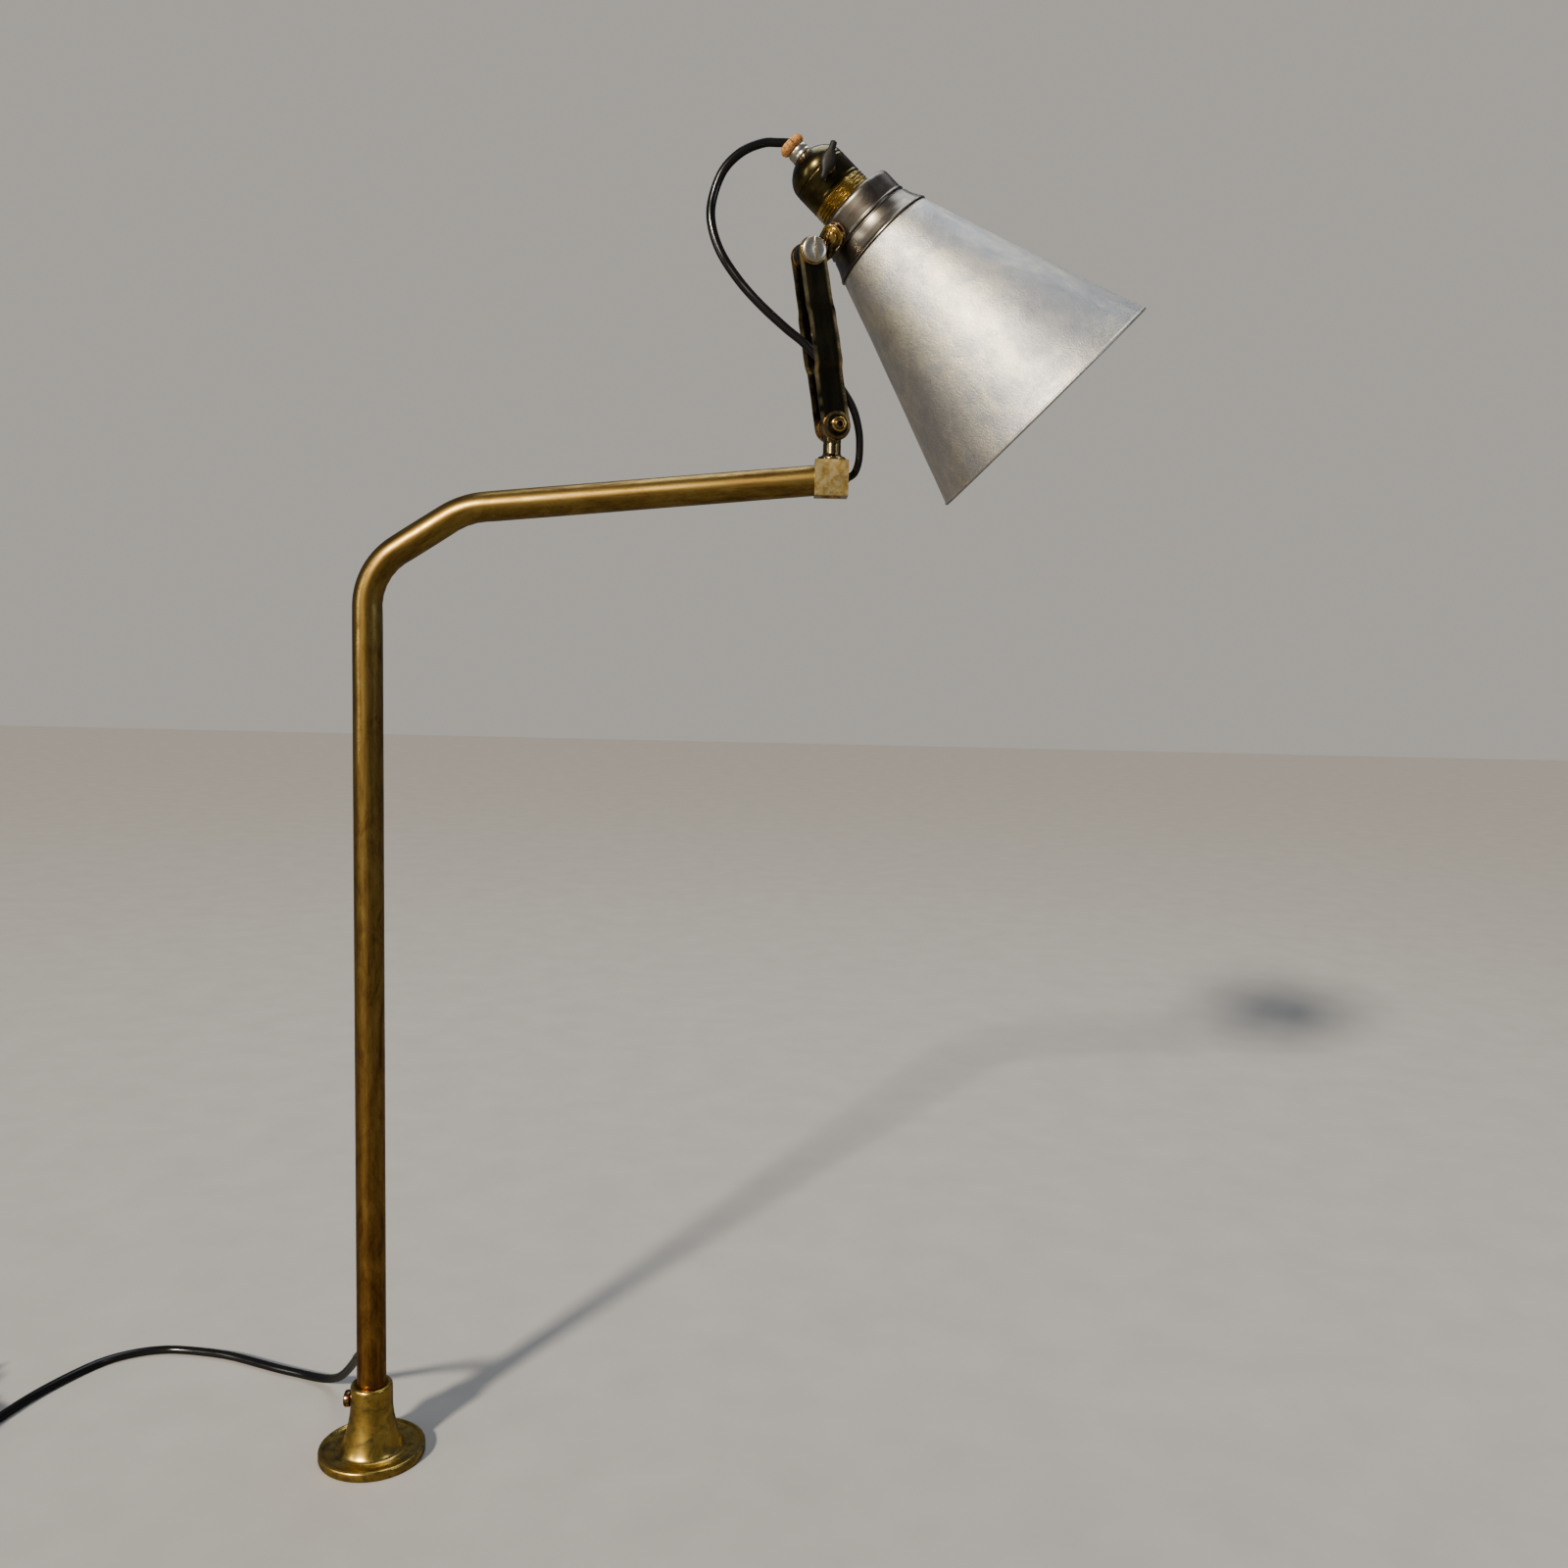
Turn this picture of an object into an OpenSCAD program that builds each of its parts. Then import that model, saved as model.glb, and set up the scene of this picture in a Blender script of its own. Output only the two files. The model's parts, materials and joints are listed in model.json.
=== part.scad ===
// Articulated bench lamp: brass post with a bent-over arm, friction-jointed
// two-plate link, key-switch bayonet lampholder and conical aluminium shade.
// Millimetres. Origin at the centre of the flange's underside, +Z up,
// +X along the reach of the arm.

/* [Base flange] */
// Outside diameter of the bench flange
flange_d = 58; // [56:1:64]
// Height of the flange and its socket above the bench
flange_h = 41.5; // [40:0.5:44]
// Outside diameter of the socket
socket_d = 23; // [22:0.5:25]
// Wall radius of the tapped fixing hole in the underside (M10 tapping size)
fixing_r = 4.25; // [4:0.05:4.6]
// Depth of the tapped fixing hole
fixing_depth = 11; // [8:0.5:12]

/* [Post] */
// Outside diameter of the post tube
tube_d = 15.9; // [15.5:0.1:16]
// Wall thickness of the post tube
tube_wall = 1.2; // [0.8:0.1:1.5]
// Centre-line radius of the lower bend
bend1_r = 36; // [30:1:38]
// Centre-line radius of the upper bend
bend2_r = 45; // [40:1:50]
// Height at which the mains flex leaves the post
exit_z = 52; // [50:1:60]

/* [End block] */
// Width of the end block along the arm
block_w = 17.5; // [17:0.5:18]
// Depth of the end block
block_d = 19; // [18.5:0.5:20]
// Height of the end block
block_h = 18.3; // [18:0.1:19]

/* [Link arm] */
// Distance between the two pivots of the link arm
link_l = 87.1; // [86:0.1:88]
// Thickness of each arm plate
plate_t = 1.5; // [1.2:0.1:1.6]
// Yaw of the link arm about the vertical at rest
link_yaw = 17.5; // [15:0.5:20]
// Backward lean of the link arm at rest
link_lean = 10.3; // [9:0.1:12]

/* [Head] */
// Downward aim of the shade below the horizontal at rest
aim = 44; // [42:0.5:46]
// Shade rim radius
rim_r = 70.4; // [68:0.2:71]
// Shade neck radius
neck_r = 29.1; // [28.8:0.1:29.4]
// Shade length along its axis
shade_l = 121; // [118:1:122]
// Bore radius of the lampholder barrel (22 mm bayonet cap)
cap_bore_r = 11.1; // [11.05:0.05:11.2]

/* [Flex] */
// Diameter of the flex
flex_d = 4.8; // [4.4:0.1:5]
// Mean radius of the stored coil
coil_r = 28; // [26:1:30]

/* [Hidden] */
$fn = 64;
tube_r = tube_d / 2;
bore_r = tube_r - tube_wall;
flex_r = flex_d / 2;
// bend corners of the post centre line, (x, z)
c1 = [0, 489.7];
c2 = [51.4, 522.6];
c3 = [243, 542];
diag_a = atan2(c2[1] - c1[1], c2[0] - c1[0]);
arm_a = atan2(c3[1] - c2[1], c3[0] - c2[0]);
turn1 = 90 - diag_a;
turn2 = diag_a - arm_a;
tan1 = bend1_r * tan(turn1 / 2);
tan2 = bend2_r * tan(turn2 / 2);
post_z0 = 14;
// tube end inside the block
arm_end_x = 237.6;
// block faces
bx = c3[0];
bz = c3[1];
block_top = bz + block_h / 2;
block_bot = bz - block_h / 2;
// lower pivot
lp = [bx, 0, 568.9];
// half gaps between the plates and their outer faces
gap_bot = 4.95;
gap_mid = 7.65;
gap_top = 6.0;
// shade and collar meeting plane
head_o = [267.6, 10, 665.8];
head_z = 17.5;    // height of the collar's pivot boss on the head axis
head_phi = 48;    // angle of the boss round the collar
key_phi = 5;     // angle of the switch key round the holder
key_z = 44.5;
plunger_y = 5.0;

// ---------- frames ----------
module arm_frame() {
  translate(lp) rotate([0, 0, link_yaw]) rotate([0, -link_lean, 0]) children();
}
module upper_frame() { arm_frame() translate([0, 0, link_l]) children(); }
// head axis: local +Z runs up towards the holder cap
module head_frame() { translate(head_o) rotate([0, -(90 - aim), 0]) children(); }
// radial frame of the head pivot: local +Z points out of the collar
module radial_frame() {
  head_frame() translate([0, 0, head_z]) rotate([0, 0, -head_phi]) rotate([90, 0, 0]) children();
}
module key_frame() {
  head_frame() translate([0, 0, key_z]) rotate([0, 0, key_phi]) rotate([90, 0, 0]) children();
}
// disc along the local Y axis from y0 to y1
module disc_y(r, y0, y1, fn = 64) {
  translate([0, y1, 0]) rotate([90, 0, 0]) cylinder(r = r, h = y1 - y0, $fn = fn);
}
module ring_y(r, ri, y0, y1) {
  difference() { disc_y(r, y0, y1); disc_y(ri, y0 - 1, y1 + 1); }
}
module ring(r, ri, h) {
  difference() { cylinder(r = r, h = h); translate([0, 0, -1]) cylinder(r = ri, h = h + 2); }
}

// ---------- swept tube ----------
function unit(v) = v / norm(v);
// smooth points through a list of control points
function cr(a, b, c, d, t) =
  0.5 * ((2 * b) + (c - a) * t + (2 * a - 5 * b + 4 * c - d) * t * t
  + (3 * b - a - 3 * c + d) * t * t * t);
function smooth(p, n) = let (k = len(p)) concat(
  [for (i = [0 : k - 2]) for (j = [0 : n - 1])
    cr(p[max(i - 1, 0)], p[i], p[i + 1], p[min(i + 2, k - 1)], j / n)],
  [p[k - 1]]);
// the same run, a little shorter at its ends
function trim(p, d0, d1) = let (n = len(p)) concat([p[0] + d0 * unit(p[1] - p[0])],
  [for (i = [1 : n - 2]) p[i]], [p[n - 1] + d1 * unit(p[n - 2] - p[n - 1])]);
function tang(p, i) = unit(p[min(i + 1, len(p) - 1)] - p[max(i - 1, 0)]);
// frame carried along the path without twist
function carry(p, i, u) = let (t = tang(p, i), w = u - (u * t) * t)
  i == len(p) - 1 ? [unit(w)] : concat([unit(w)], carry(p, i + 1, unit(w)));
module sweep(path, r, sides, up = [0, 0, 1]) {
  us = carry(path, 0, up);
  n = len(path);
  pts = [for (i = [0 : n - 1]) let (t = tang(path, i), u = us[i], v = cross(t, u))
    for (k = [0 : sides - 1]) path[i] + r * (cos(360 * k / sides) * u + sin(360 * k / sides) * v)];
  side_faces = [for (i = [0 : n - 2]) for (k = [0 : sides - 1]) let (a = i * sides + k,
    b = i * sides + (k + 1) % sides) each [[a, a + sides, b + sides], [a, b + sides, b]]];
  ends = [[for (k = [0 : sides - 1]) k], [for (k = [sides - 1 : -1 : 0]) (n - 1) * sides + k]];
  polyhedron(points = pts, faces = concat(side_faces, ends), convexity = 6);
}

// ---------- base ----------
flange_profile = [[0, 0], [28.3, 0], [flange_d / 2, 0.7], [flange_d / 2, 4.7], [28.5, 5.4],
  [27.5, 5.5], [26.7, 4.7], [22, 4.1], [19, 4.1], [17.6, 4.8], [16.6, 6.4], [15.6, 9],
  [14.5, 12.5], [13.4, 16.5], [12.5, 20.5], [11.8, 25], [socket_d / 2, 30],
  [socket_d / 2, flange_h - 2], [11.2, flange_h - 0.8], [10.4, flange_h - 0.1], [9.6, flange_h],
  [0, flange_h]];
set_z = 32;

module base_flange() color([0.80, 0.63, 0.28]) difference() {
  rotate_extrude() polygon(flange_profile);
  translate([0, 0, post_z0]) cylinder(r = tube_r + 0.03, h = 40);
  translate([0, 0, flange_h - 0.9]) cylinder(r = tube_r + 0.5, h = 2);
  translate([0, 0, -1]) cylinder(r = fixing_r, h = fixing_depth + 1);
  translate([-5, 0, set_z]) rotate([0, -90, 0]) cylinder(r = 2.52, h = 20);
}

module flange_set_screw() color([0.55, 0.38, 0.18]) difference() {
  translate([-8.05, 0, set_z]) rotate([0, -90, 0]) union() {
    cylinder(r = 2.5, h = 4.2);
    translate([0, 0, 3.75]) cylinder(r = 4.5, h = 2.6);
    translate([0, 0, 6.35]) cylinder(r1 = 4.5, r2 = 3.9, h = 0.6);
  }
  translate([-15.1, -5, set_z - 0.5]) cube([1.5, 10, 1]);
}

// ---------- post ----------
// straight runs reach a little way into the elbows, which are a hair fatter
lap = 1.5;
fat = 0.1;
module bent_run(r, z0, x1) {
  t1z = c1[1] - tan1;
  translate([0, 0, z0]) cylinder(r = r, h = t1z - z0 + lap);
  translate([bend1_r, 0, t1z]) rotate([90, 0, 0]) rotate([0, 0, 180 - turn1])
    rotate_extrude(angle = turn1) translate([bend1_r, 0]) circle(r = r + fat);
  p1 = [bend1_r - bend1_r * cos(turn1), t1z + bend1_r * sin(turn1)];
  dl = norm(c2 - c1) - tan1 - tan2;
  translate([p1[0], 0, p1[1]]) rotate([0, 90 - diag_a, 0]) translate([0, 0, -lap])
    cylinder(r = r, h = dl + 2 * lap);
  p2 = p1 + dl * [cos(diag_a), sin(diag_a)];
  cc = p2 + bend2_r * [sin(diag_a), -cos(diag_a)];
  translate([cc[0], 0, cc[1]]) rotate([90, 0, 0]) rotate([0, 0, 90 + arm_a])
    rotate_extrude(angle = turn2) translate([bend2_r, 0]) circle(r = r + fat);
  p3 = cc + bend2_r * [-sin(arm_a), cos(arm_a)];
  translate([p3[0], 0, p3[1]]) rotate([0, 90 - arm_a, 0]) translate([0, 0, -lap])
    cylinder(r = r, h = (x1 - p3[0]) / cos(arm_a) + lap);
}
exit_a = 125;
module exit_frame() { translate([0, 0, exit_z]) rotate([0, 0, exit_a]) rotate([0, 90, 0]) children(); }

module post_tube() color([0.62, 0.44, 0.20]) difference() {
  bent_run(tube_r, post_z0, arm_end_x);
  bent_run(bore_r, post_z0 - 1, arm_end_x + 1);
  exit_frame() cylinder(r = 3.6, h = 12);
}

module post_exit_bush() color([0.08, 0.08, 0.08]) exit_frame() difference() {
  union() {
    translate([0, 0, 6.2]) cylinder(r = 3.55, h = 2.4);
    translate([0, 0, 8.1]) cylinder(r = 4.7, h = 1.3);
  }
  translate([0, 0, 5]) cylinder(r = flex_r + 0.05, h = 6);
}

// ---------- end block and swivel stem ----------
wire_a = [235.5, 4.1, 541.2];
wire_b = [252.4, 6.7, 543.8];
module along(a, b, r, ext0 = 0, ext1 = 0) {
  d = b - a;
  l = norm(d);
  translate(a) rotate([0, acos(d[2] / l), atan2(d[1], d[0])])
    translate([0, 0, -ext0]) cylinder(r = r, h = l + ext0 + ext1);
}

module end_block() color([0.78, 0.66, 0.38]) difference() {
  translate([bx - block_w / 2, -block_d / 2, block_bot]) cube([block_w, block_d, block_h]);
  translate([bx, 0, bz]) rotate([0, 90 - arm_a, 0]) translate([0, 0, -20])
    cylinder(r = tube_r + 0.03, h = 20 - (bx - arm_end_x) / cos(arm_a));
  translate([bx, 0, block_bot - 1]) cylinder(r = 2.55, h = block_h + 2);
  translate([bx, 0, block_bot - 1]) cylinder(r = 5.2, h = 4.6);
  along(wire_a, wire_b, flex_r + 0.2, 1.5, 4);
}

module stem_thrust_washer() color([0.30, 0.16, 0.08])
  translate([bx, 0, block_top]) ring(7.2, 2.7, 0.5);

module swivel_stem() color([0.45, 0.36, 0.20]) difference() {
  union() {
    translate([bx, 0, block_bot + 4.0]) cylinder(r = 2.5, h = block_h - 2);
    translate([bx, 0, block_top + 0.5]) rotate_extrude()
      polygon([[0, 0], [7.5, 0], [7.5, 0.9], [6.9, 1.7], [5.8, 2.3], [4.9, 2.9], [4.65, 3.6],
        [4.65, 12], [0, 12]]);
    translate(lp) rotate([0, 0, link_yaw]) disc_y(6.2, -4.65, 4.65);
  }
  translate(lp) rotate([0, 0, link_yaw]) disc_y(2.56, -8, 8);
  translate([bx, 0, block_bot]) cylinder(r = 1.65, h = 14);
}

module stem_retaining_screw() color([0.70, 0.58, 0.32]) difference() {
  union() {
    translate([bx, 0, block_bot + 3.3]) ring(4.8, 1.64, 0.25);
    translate([bx, 0, block_bot + 0.6]) cylinder(r = 4.2, h = 2.7);
    translate([bx, 0, block_bot + 3.2]) cylinder(r = 1.63, h = 9.5);
    translate([bx, 0, block_bot + 3.3]) cylinder(r = 2.5, h = 0.7);
  }
  translate([bx - 5, -0.45, block_bot + 0.5]) cube([10, 0.9, 1.2]);
}

// ---------- link arm ----------
module plate_outline() {
  difference() {
    union() {
      circle(r = 7.75);
      translate([0, link_l]) circle(r = 7);
      polygon([[-7.72, 0], [7.72, 0], [6.99, link_l], [-6.99, link_l]]);
    }
  }
}
function plate_side(s) = [
  [s * gap_bot, -9], [s * gap_bot, 28], [s * gap_mid, 32.5], [s * gap_mid, 56.5],
  [s * gap_top, 61], [s * gap_top, 96],
  [s * (gap_top + plate_t), 96], [s * (gap_top + plate_t), 61.4],
  [s * (gap_mid + plate_t), 56.9], [s * (gap_mid + plate_t), 32.1],
  [s * (gap_bot + plate_t), 27.6], [s * (gap_bot + plate_t), -9]];
module arm_plate(s) {
  arm_frame() difference() {
    intersection() {
      translate([0, 15, 0]) rotate([90, 0, 0]) linear_extrude(30) plate_outline();
      translate([-12, 0, 0]) rotate([90, 0, 90]) linear_extrude(24) polygon(plate_side(s));
    }
    disc_y(2.56, -12, 12);
    translate([0, 0, link_l]) disc_y(2.56, -12, 12);
  }
}
module arm_plate_front() color([0.16, 0.14, 0.10]) arm_plate(-1);
module arm_plate_back() color([0.16, 0.14, 0.10]) arm_plate(1);

pf = gap_bot + plate_t;   // outer face at the lower pivot
uf = gap_top + plate_t;   // outer face at the upper pivot

module lower_pivot_bolt() color([0.50, 0.40, 0.24]) arm_frame() difference() {
  union() {
    disc_y(2.5, -pf - 5.4, pf + 1.1);
    disc_y(5.2, pf + 1, pf + 3.6);
  }
  disc_y(1.25, -pf - 6, -pf - 1.8);
  translate([-6, pf + 2.6, -0.5]) cube([12, 2, 1]);
}
module lower_pivot_washers() color([0.48, 0.38, 0.22]) arm_frame() {
  ring_y(7.15, 2.6, -pf - 1, -pf);
  ring_y(5.65, 2.6, -pf - 2.1, -pf - 1);
  ring_y(7.15, 2.6, pf, pf + 1);
}
module lower_pivot_nut() color([0.55, 0.46, 0.28]) arm_frame()
  ring_y(3.9, 2.51, -pf - 4.8, -pf - 2.1);
module lower_friction_washers() color([0.30, 0.16, 0.08]) arm_frame() {
  ring_y(6.2, 2.6, -gap_bot, -4.65);
  ring_y(6.2, 2.6, 4.65, gap_bot);
}
module upper_pivot_screw() color([0.72, 0.66, 0.50]) upper_frame() difference() {
  union() {
    disc_y(2.5, -uf - 1.2, uf + 13.5);
    disc_y(6.5, -uf - 3.4, -uf - 1);
    translate([0, -uf - 3.4, 0]) rotate([90, 0, 0]) cylinder(r1 = 6.5, r2 = 5.2, h = 0.7);
  }
  rotate([0, -4, 0]) translate([-0.55, -uf - 5, -8]) cube([1.1, 2.1, 16]);
}
module upper_pivot_washers() color([0.66, 0.50, 0.24]) upper_frame() {
  ring_y(7.1, 2.6, -uf - 1, -uf);
  ring_y(6.0, 2.6, uf, uf + 1);
  ring_y(4.8, 2.6, uf + 1, uf + 1.9);
}
module upper_pivot_nut() color([0.60, 0.48, 0.26]) upper_frame() {
  difference() {
    translate([0, uf + 6.3, 0]) rotate([90, 0, 0]) cylinder(r = 4.7, h = 4.4, $fn = 6);
    disc_y(2.51, 0, 20);
  }
}
module upper_friction_washers() color([0.30, 0.16, 0.08]) upper_frame() {
  ring_y(6.2, 2.6, -gap_top, -5.4);
  ring_y(6.2, 2.6, 5.4, gap_top);
}

// ---------- knuckle and head pivot ----------
tab_z = 26.4;
tab_t = 2.2;
module knuckle() color([0.14, 0.12, 0.09]) difference() {
  union() {
    upper_frame() disc_y(6.3, -5.4, 5.4);
    upper_frame() translate([0, -3.6, -4]) cube([10.4, 7.2, 8]);
    hull() {
      upper_frame() translate([8.2, -3.6, -4]) cube([2.2, 7.2, 8]);
      radial_frame() translate([0, 0, tab_z]) cylinder(r = 6, h = tab_t, $fn = 32);
    }
  }
  upper_frame() disc_y(2.56, -8, 8);
  radial_frame() translate([0, 0, 15]) cylinder(r = 2.06, h = 40);
  // keep the tab's pressed faces flat, with a running clearance under the washers
  radial_frame() translate([0, 0, tab_z + tab_t - 0.08]) cylinder(r = 6.7, h = 12);
  radial_frame() translate([0, 0, tab_z - 12 + 0.08]) cylinder(r = 6.7, h = 12);
}
module head_pivot_screw() color([0.78, 0.60, 0.28]) radial_frame() difference() {
  union() {
    translate([0, 0, 18.5]) cylinder(r = 2.0, h = 12);
    translate([0, 0, tab_z + tab_t + 1]) rotate_extrude()
      polygon([[0, 0], [3.6, 0], [3.6, 0.9], [3.3, 1.7], [2.6, 2.4], [1.4, 2.8], [0, 2.9]]);
  }
  rotate([0, 0, 30]) translate([-5, -0.4, tab_z + tab_t + 3]) cube([10, 0.8, 2]);
}
module head_pivot_washer() color([0.70, 0.54, 0.26]) radial_frame()
  translate([0, 0, tab_z + tab_t]) ring(6.1, 2.1, 1);
module head_friction_washer() color([0.30, 0.16, 0.08]) radial_frame()
  translate([0, 0, tab_z - 1]) ring(6.0, 2.1, 1);

// ---------- head ----------
module collar() color([0.28, 0.26, 0.23]) difference() {
  union() {
    head_frame() rotate_extrude() polygon([
      [29.9, 0], [29.9, 0.7], [28.2, 3.3], [26.6, 6.6], [25.5, 10], [24.6, 10.5], [24.6, 11.4],
      [25.3, 11.8], [25.3, 12.5], [24.8, 12.9], [24.8, 22.6], [24.4, 24], [23.4, 24.9], [22, 25.1],
      [14.3, 25.1], [14.3, 23.8], [22.4, 23.8], [23.5, 22.6], [23.5, 11], [24.2, 8], [25.6, 5],
      [28.2, 0]]);
    radial_frame() translate([0, 0, 17.5]) cylinder(r = 5.6, h = tab_z - 1 - 17.5);
  }
  radial_frame() translate([0, 0, 17]) cylinder(r = 2.02, h = 12);
}
cone_k = (rim_r - neck_r) / shade_l;
module shade() color([0.78, 0.77, 0.74]) head_frame() rotate_extrude() polygon([
  [14.3, 0], [neck_r - 0.6, 0], [neck_r, -0.6], [rim_r - 0.5, -shade_l + 1.6],
  [rim_r, -shade_l + 1.5], [rim_r + 0.1, -shade_l + 0.6], [rim_r - 0.3, -shade_l],
  [rim_r - 1.2, -shade_l], [rim_r - 1.6, -shade_l + 0.8], [rim_r - 1.5, -shade_l + 1.6],
  [neck_r - 1.3, -1.1], [14.3, -1.1]]);
module shade_ring() color([0.35, 0.32, 0.28]) head_frame() translate([0, 0, -6.1]) difference() {
  union() { cylinder(r = 19, h = 5); cylinder(r = 17.4, h = 5); }
  translate([0, 0, -1]) cylinder(r = 14.23, h = 7);
  for (a = [0 : 45 : 315]) rotate([0, 0, a]) translate([19.6, 0, -1]) cylinder(r = 1.4, h = 7, $fn = 24);
}
thread = [for (i = [0 : 6]) each [[15.5, 26.0 + i * 1.2], [16.0, 26.45 + i * 1.2], [16.0, 26.75 + i * 1.2]]];
module holder_barrel() color([0.72, 0.58, 0.28]) head_frame() difference() {
  rotate_extrude() polygon(concat(
    [[cap_bore_r, -16], [14.2, -16], [14.2, 25.1], [15.6, 25.1]], thread,
    [[15.5, 34.4], [14.0, 34.4], [14.0, 37], [12.5, 37], [12.5, 8], [11.6, 8], [11.6, 3.8],
      [cap_bore_r, 3.8]]));
  for (a = [0, 180]) rotate([0, 0, a]) {
    translate([9, -1.25, -17]) cube([7, 2.5, 9]);
    rotate([0, 0, -13]) translate([9, -1.6, -10.7]) cube([7, 3.6, 2.6]);
  }
}
module holder_body() color([0.20, 0.17, 0.11]) difference() {
  head_frame() rotate_extrude() polygon([
    [15.7, 34.5], [15.8, 35.2], [15.8, 46.6], [15.5, 47.2], [14.1, 47.2], [14.1, 34.5]]);
  key_frame() cylinder(r = 2.72, h = 20);
}
module holder_cap() color([0.22, 0.19, 0.12]) head_frame() rotate_extrude() polygon([
  [15.5, 47.3], [15.7, 48], [15.4, 50.2], [14.5, 52.6], [13.0, 54.9], [10.9, 56.9], [8.5, 58.6],
  [6.6, 59.4], [5.9, 59.9], [4.05, 59.9], [4.05, 58.4], [7.6, 57.4], [9.9, 55.9], [12.0, 54],
  [13.4, 51.9], [14.2, 49.6], [14.2, 47.3]]);
module cord_grip_nut() color([0.80, 0.76, 0.62]) head_frame() difference() {
  union() {
    translate([0, 0, 55.5]) cylinder(r = 4.0, h = 5);
    translate([0, 0, 60]) rotate_extrude()
      polygon([[0, 0], [5.7, 0], [5.8, 0.6], [5.7, 4.2], [5.2, 5.2], [0, 5.2]]);
  }
  translate([0, 0, 50]) cylinder(r = flex_r + 0.15, h = 20);
}
module cord_grip_halves() color([0.75, 0.48, 0.22]) difference() {
  head_frame() translate([0, 0, 68.05]) difference() {
    rotate_extrude() union() {
      translate([4.35, 0]) circle(r = 2.75, $fn = 48);
      translate([flex_r + 0.1, -2.75]) square([1.9, 5.5]);
    }
    translate([-0.2, -10, -5]) cube([0.4, 20, 10]);
    translate([0, 0, -5]) cylinder(r = flex_r + 0.1, h = 10);
  }
  // groove that lets the flex bend away to the side
  translate([218, 10, 714.4]) rotate([0, -90, 0]) cylinder(r = flex_r + 0.3, h = 16);
}
module holder_insulator() color([0.90, 0.87, 0.80]) head_frame() difference() {
  translate([0, 0, 8.1]) cylinder(r = 12.4, h = 13.9);
  for (s = [-1, 1]) translate([0, s * plunger_y, 7]) cylinder(r = 2.35, h = 13);
  for (s = [-1, 1]) translate([s * 7.5, 0, 16]) cylinder(r = 1.4, h = 8);
}
module plunger(s) head_frame() translate([0, s * plunger_y, 0]) {
  translate([0, 0, 4.6]) cylinder(r = 2.25, h = 7.4);
  translate([0, 0, 4.0]) cylinder(r1 = 1.6, r2 = 2.25, h = 0.6);
}
module contact_plunger_left() color([0.80, 0.66, 0.36]) plunger(-1);
module contact_plunger_right() color([0.80, 0.66, 0.36]) plunger(1);
module plunger_springs() color([0.6, 0.6, 0.58]) head_frame()
  for (s = [-1, 1]) translate([0, s * plunger_y, 0])
    sweep([for (i = [0 : 40]) [1.7 * cos(i * 45), 1.7 * sin(i * 45), 12.4 + i * 0.175]], 0.3, 6, [0.3, 0, 1]);
module terminal_screws() color([0.78, 0.64, 0.36]) head_frame()
  for (s = [-1, 1]) translate([s * 7.5, 0, 0]) difference() {
    union() {
      translate([0, 0, 16.5]) cylinder(r = 1.38, h = 6);
      translate([0, 0, 22]) cylinder(r = 2.6, h = 1.6);
    }
    translate([-3, -0.3, 22.9]) cube([6, 0.6, 1]);
  }
module switch_bush() color([0.62, 0.50, 0.26]) key_frame() difference() {
  union() {
    translate([0, 0, 13.4]) cylinder(r = 2.7, h = 5);
    translate([0, 0, 16.3]) cylinder(r = 4.4, h = 2.2);
  }
  translate([0, 0, 10]) cylinder(r = 1.65, h = 12);
}
module switch_spindle() color([0.66, 0.54, 0.30]) key_frame() {
  translate([0, 0, 5]) cylinder(r = 1.6, h = 18);
  translate([0, 0, 5]) cylinder(r = 4.2, h = 3);
}
key_turn = -62;
module switch_key() color([0.05, 0.045, 0.04]) key_frame() rotate([0, 0, key_turn]) difference() {
  union() {
    translate([0, 0, 18.8]) cylinder(r = 4.0, h = 6.2);
    hull() {
      translate([0, 0, 19.4]) cylinder(r = 2.1, h = 6.6, $fn = 32);
      for (s = [-1, 1]) translate([0, s * 9.1, 20.6]) cylinder(r = 1.5, h = 5.0, $fn = 32);
    }
  }
  translate([0, 0, 17]) cylinder(r = 1.61, h = 6.05);
}

// ---------- flex ----------
module flex_color() color([0.03, 0.03, 0.03]) children();
module flex_in_post() flex_color() {
  exit_frame() cylinder(r = flex_r, h = 9.4);
  bent_run(flex_r, exit_z, 226);
  translate([0, 0, exit_z]) sphere(r = flex_r + 0.12);
  fe = [226, 0, c2[1] + (226 - c2[0]) * tan(arm_a)];
  along(fe, wire_a, flex_r);
  translate(fe) sphere(r = flex_r + 0.12);
  translate(wire_a) sphere(r = flex_r + 0.12);
  along(wire_a, wire_b, flex_r);
}
lower_loop = [wire_b, [255.4, 6.0, 546.2], [257.2, 4.6, 551.5], [257.6, 3.4, 559]];
lower_loop2 = [[257.6, 3.4, 559], [256.8, 2, 567.8], [253.5, 0.5, 578.5], [247.3, -1, 588.1], [237.3, -2.4, 600]];
upper_loop1 = [[237.3, -2.4, 600], [226.9, -2.5, 610.7], [217.6, -2, 618], [204.2, -1, 629.8],
  [192.7, 1, 642.3], [182.8, 3, 656.9], [177.8, 5, 671.6]];
upper_loop2 = [[177.8, 5, 671.6], [178, 7, 684.5], [183.3, 8, 699.1], [192.7, 9, 709],
  [203.6, 10, 714], [211.6, 10, 714.4], [216.8, 10, 714.4]];
module flex_at_block() flex_color() sweep(trim(smooth(lower_loop, 3), 0.3, 0.4), flex_r, 10, [0, 1, 0]);
module flex_at_stem() flex_color() sweep(trim(smooth(lower_loop2, 3), 0.4, 0.4), flex_r, 10, [0, 1, 0]);
module flex_at_arm() flex_color() sweep(trim(smooth(upper_loop1, 3), 0.4, 0.4), flex_r, 10, [0, 1, 0]);
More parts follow.
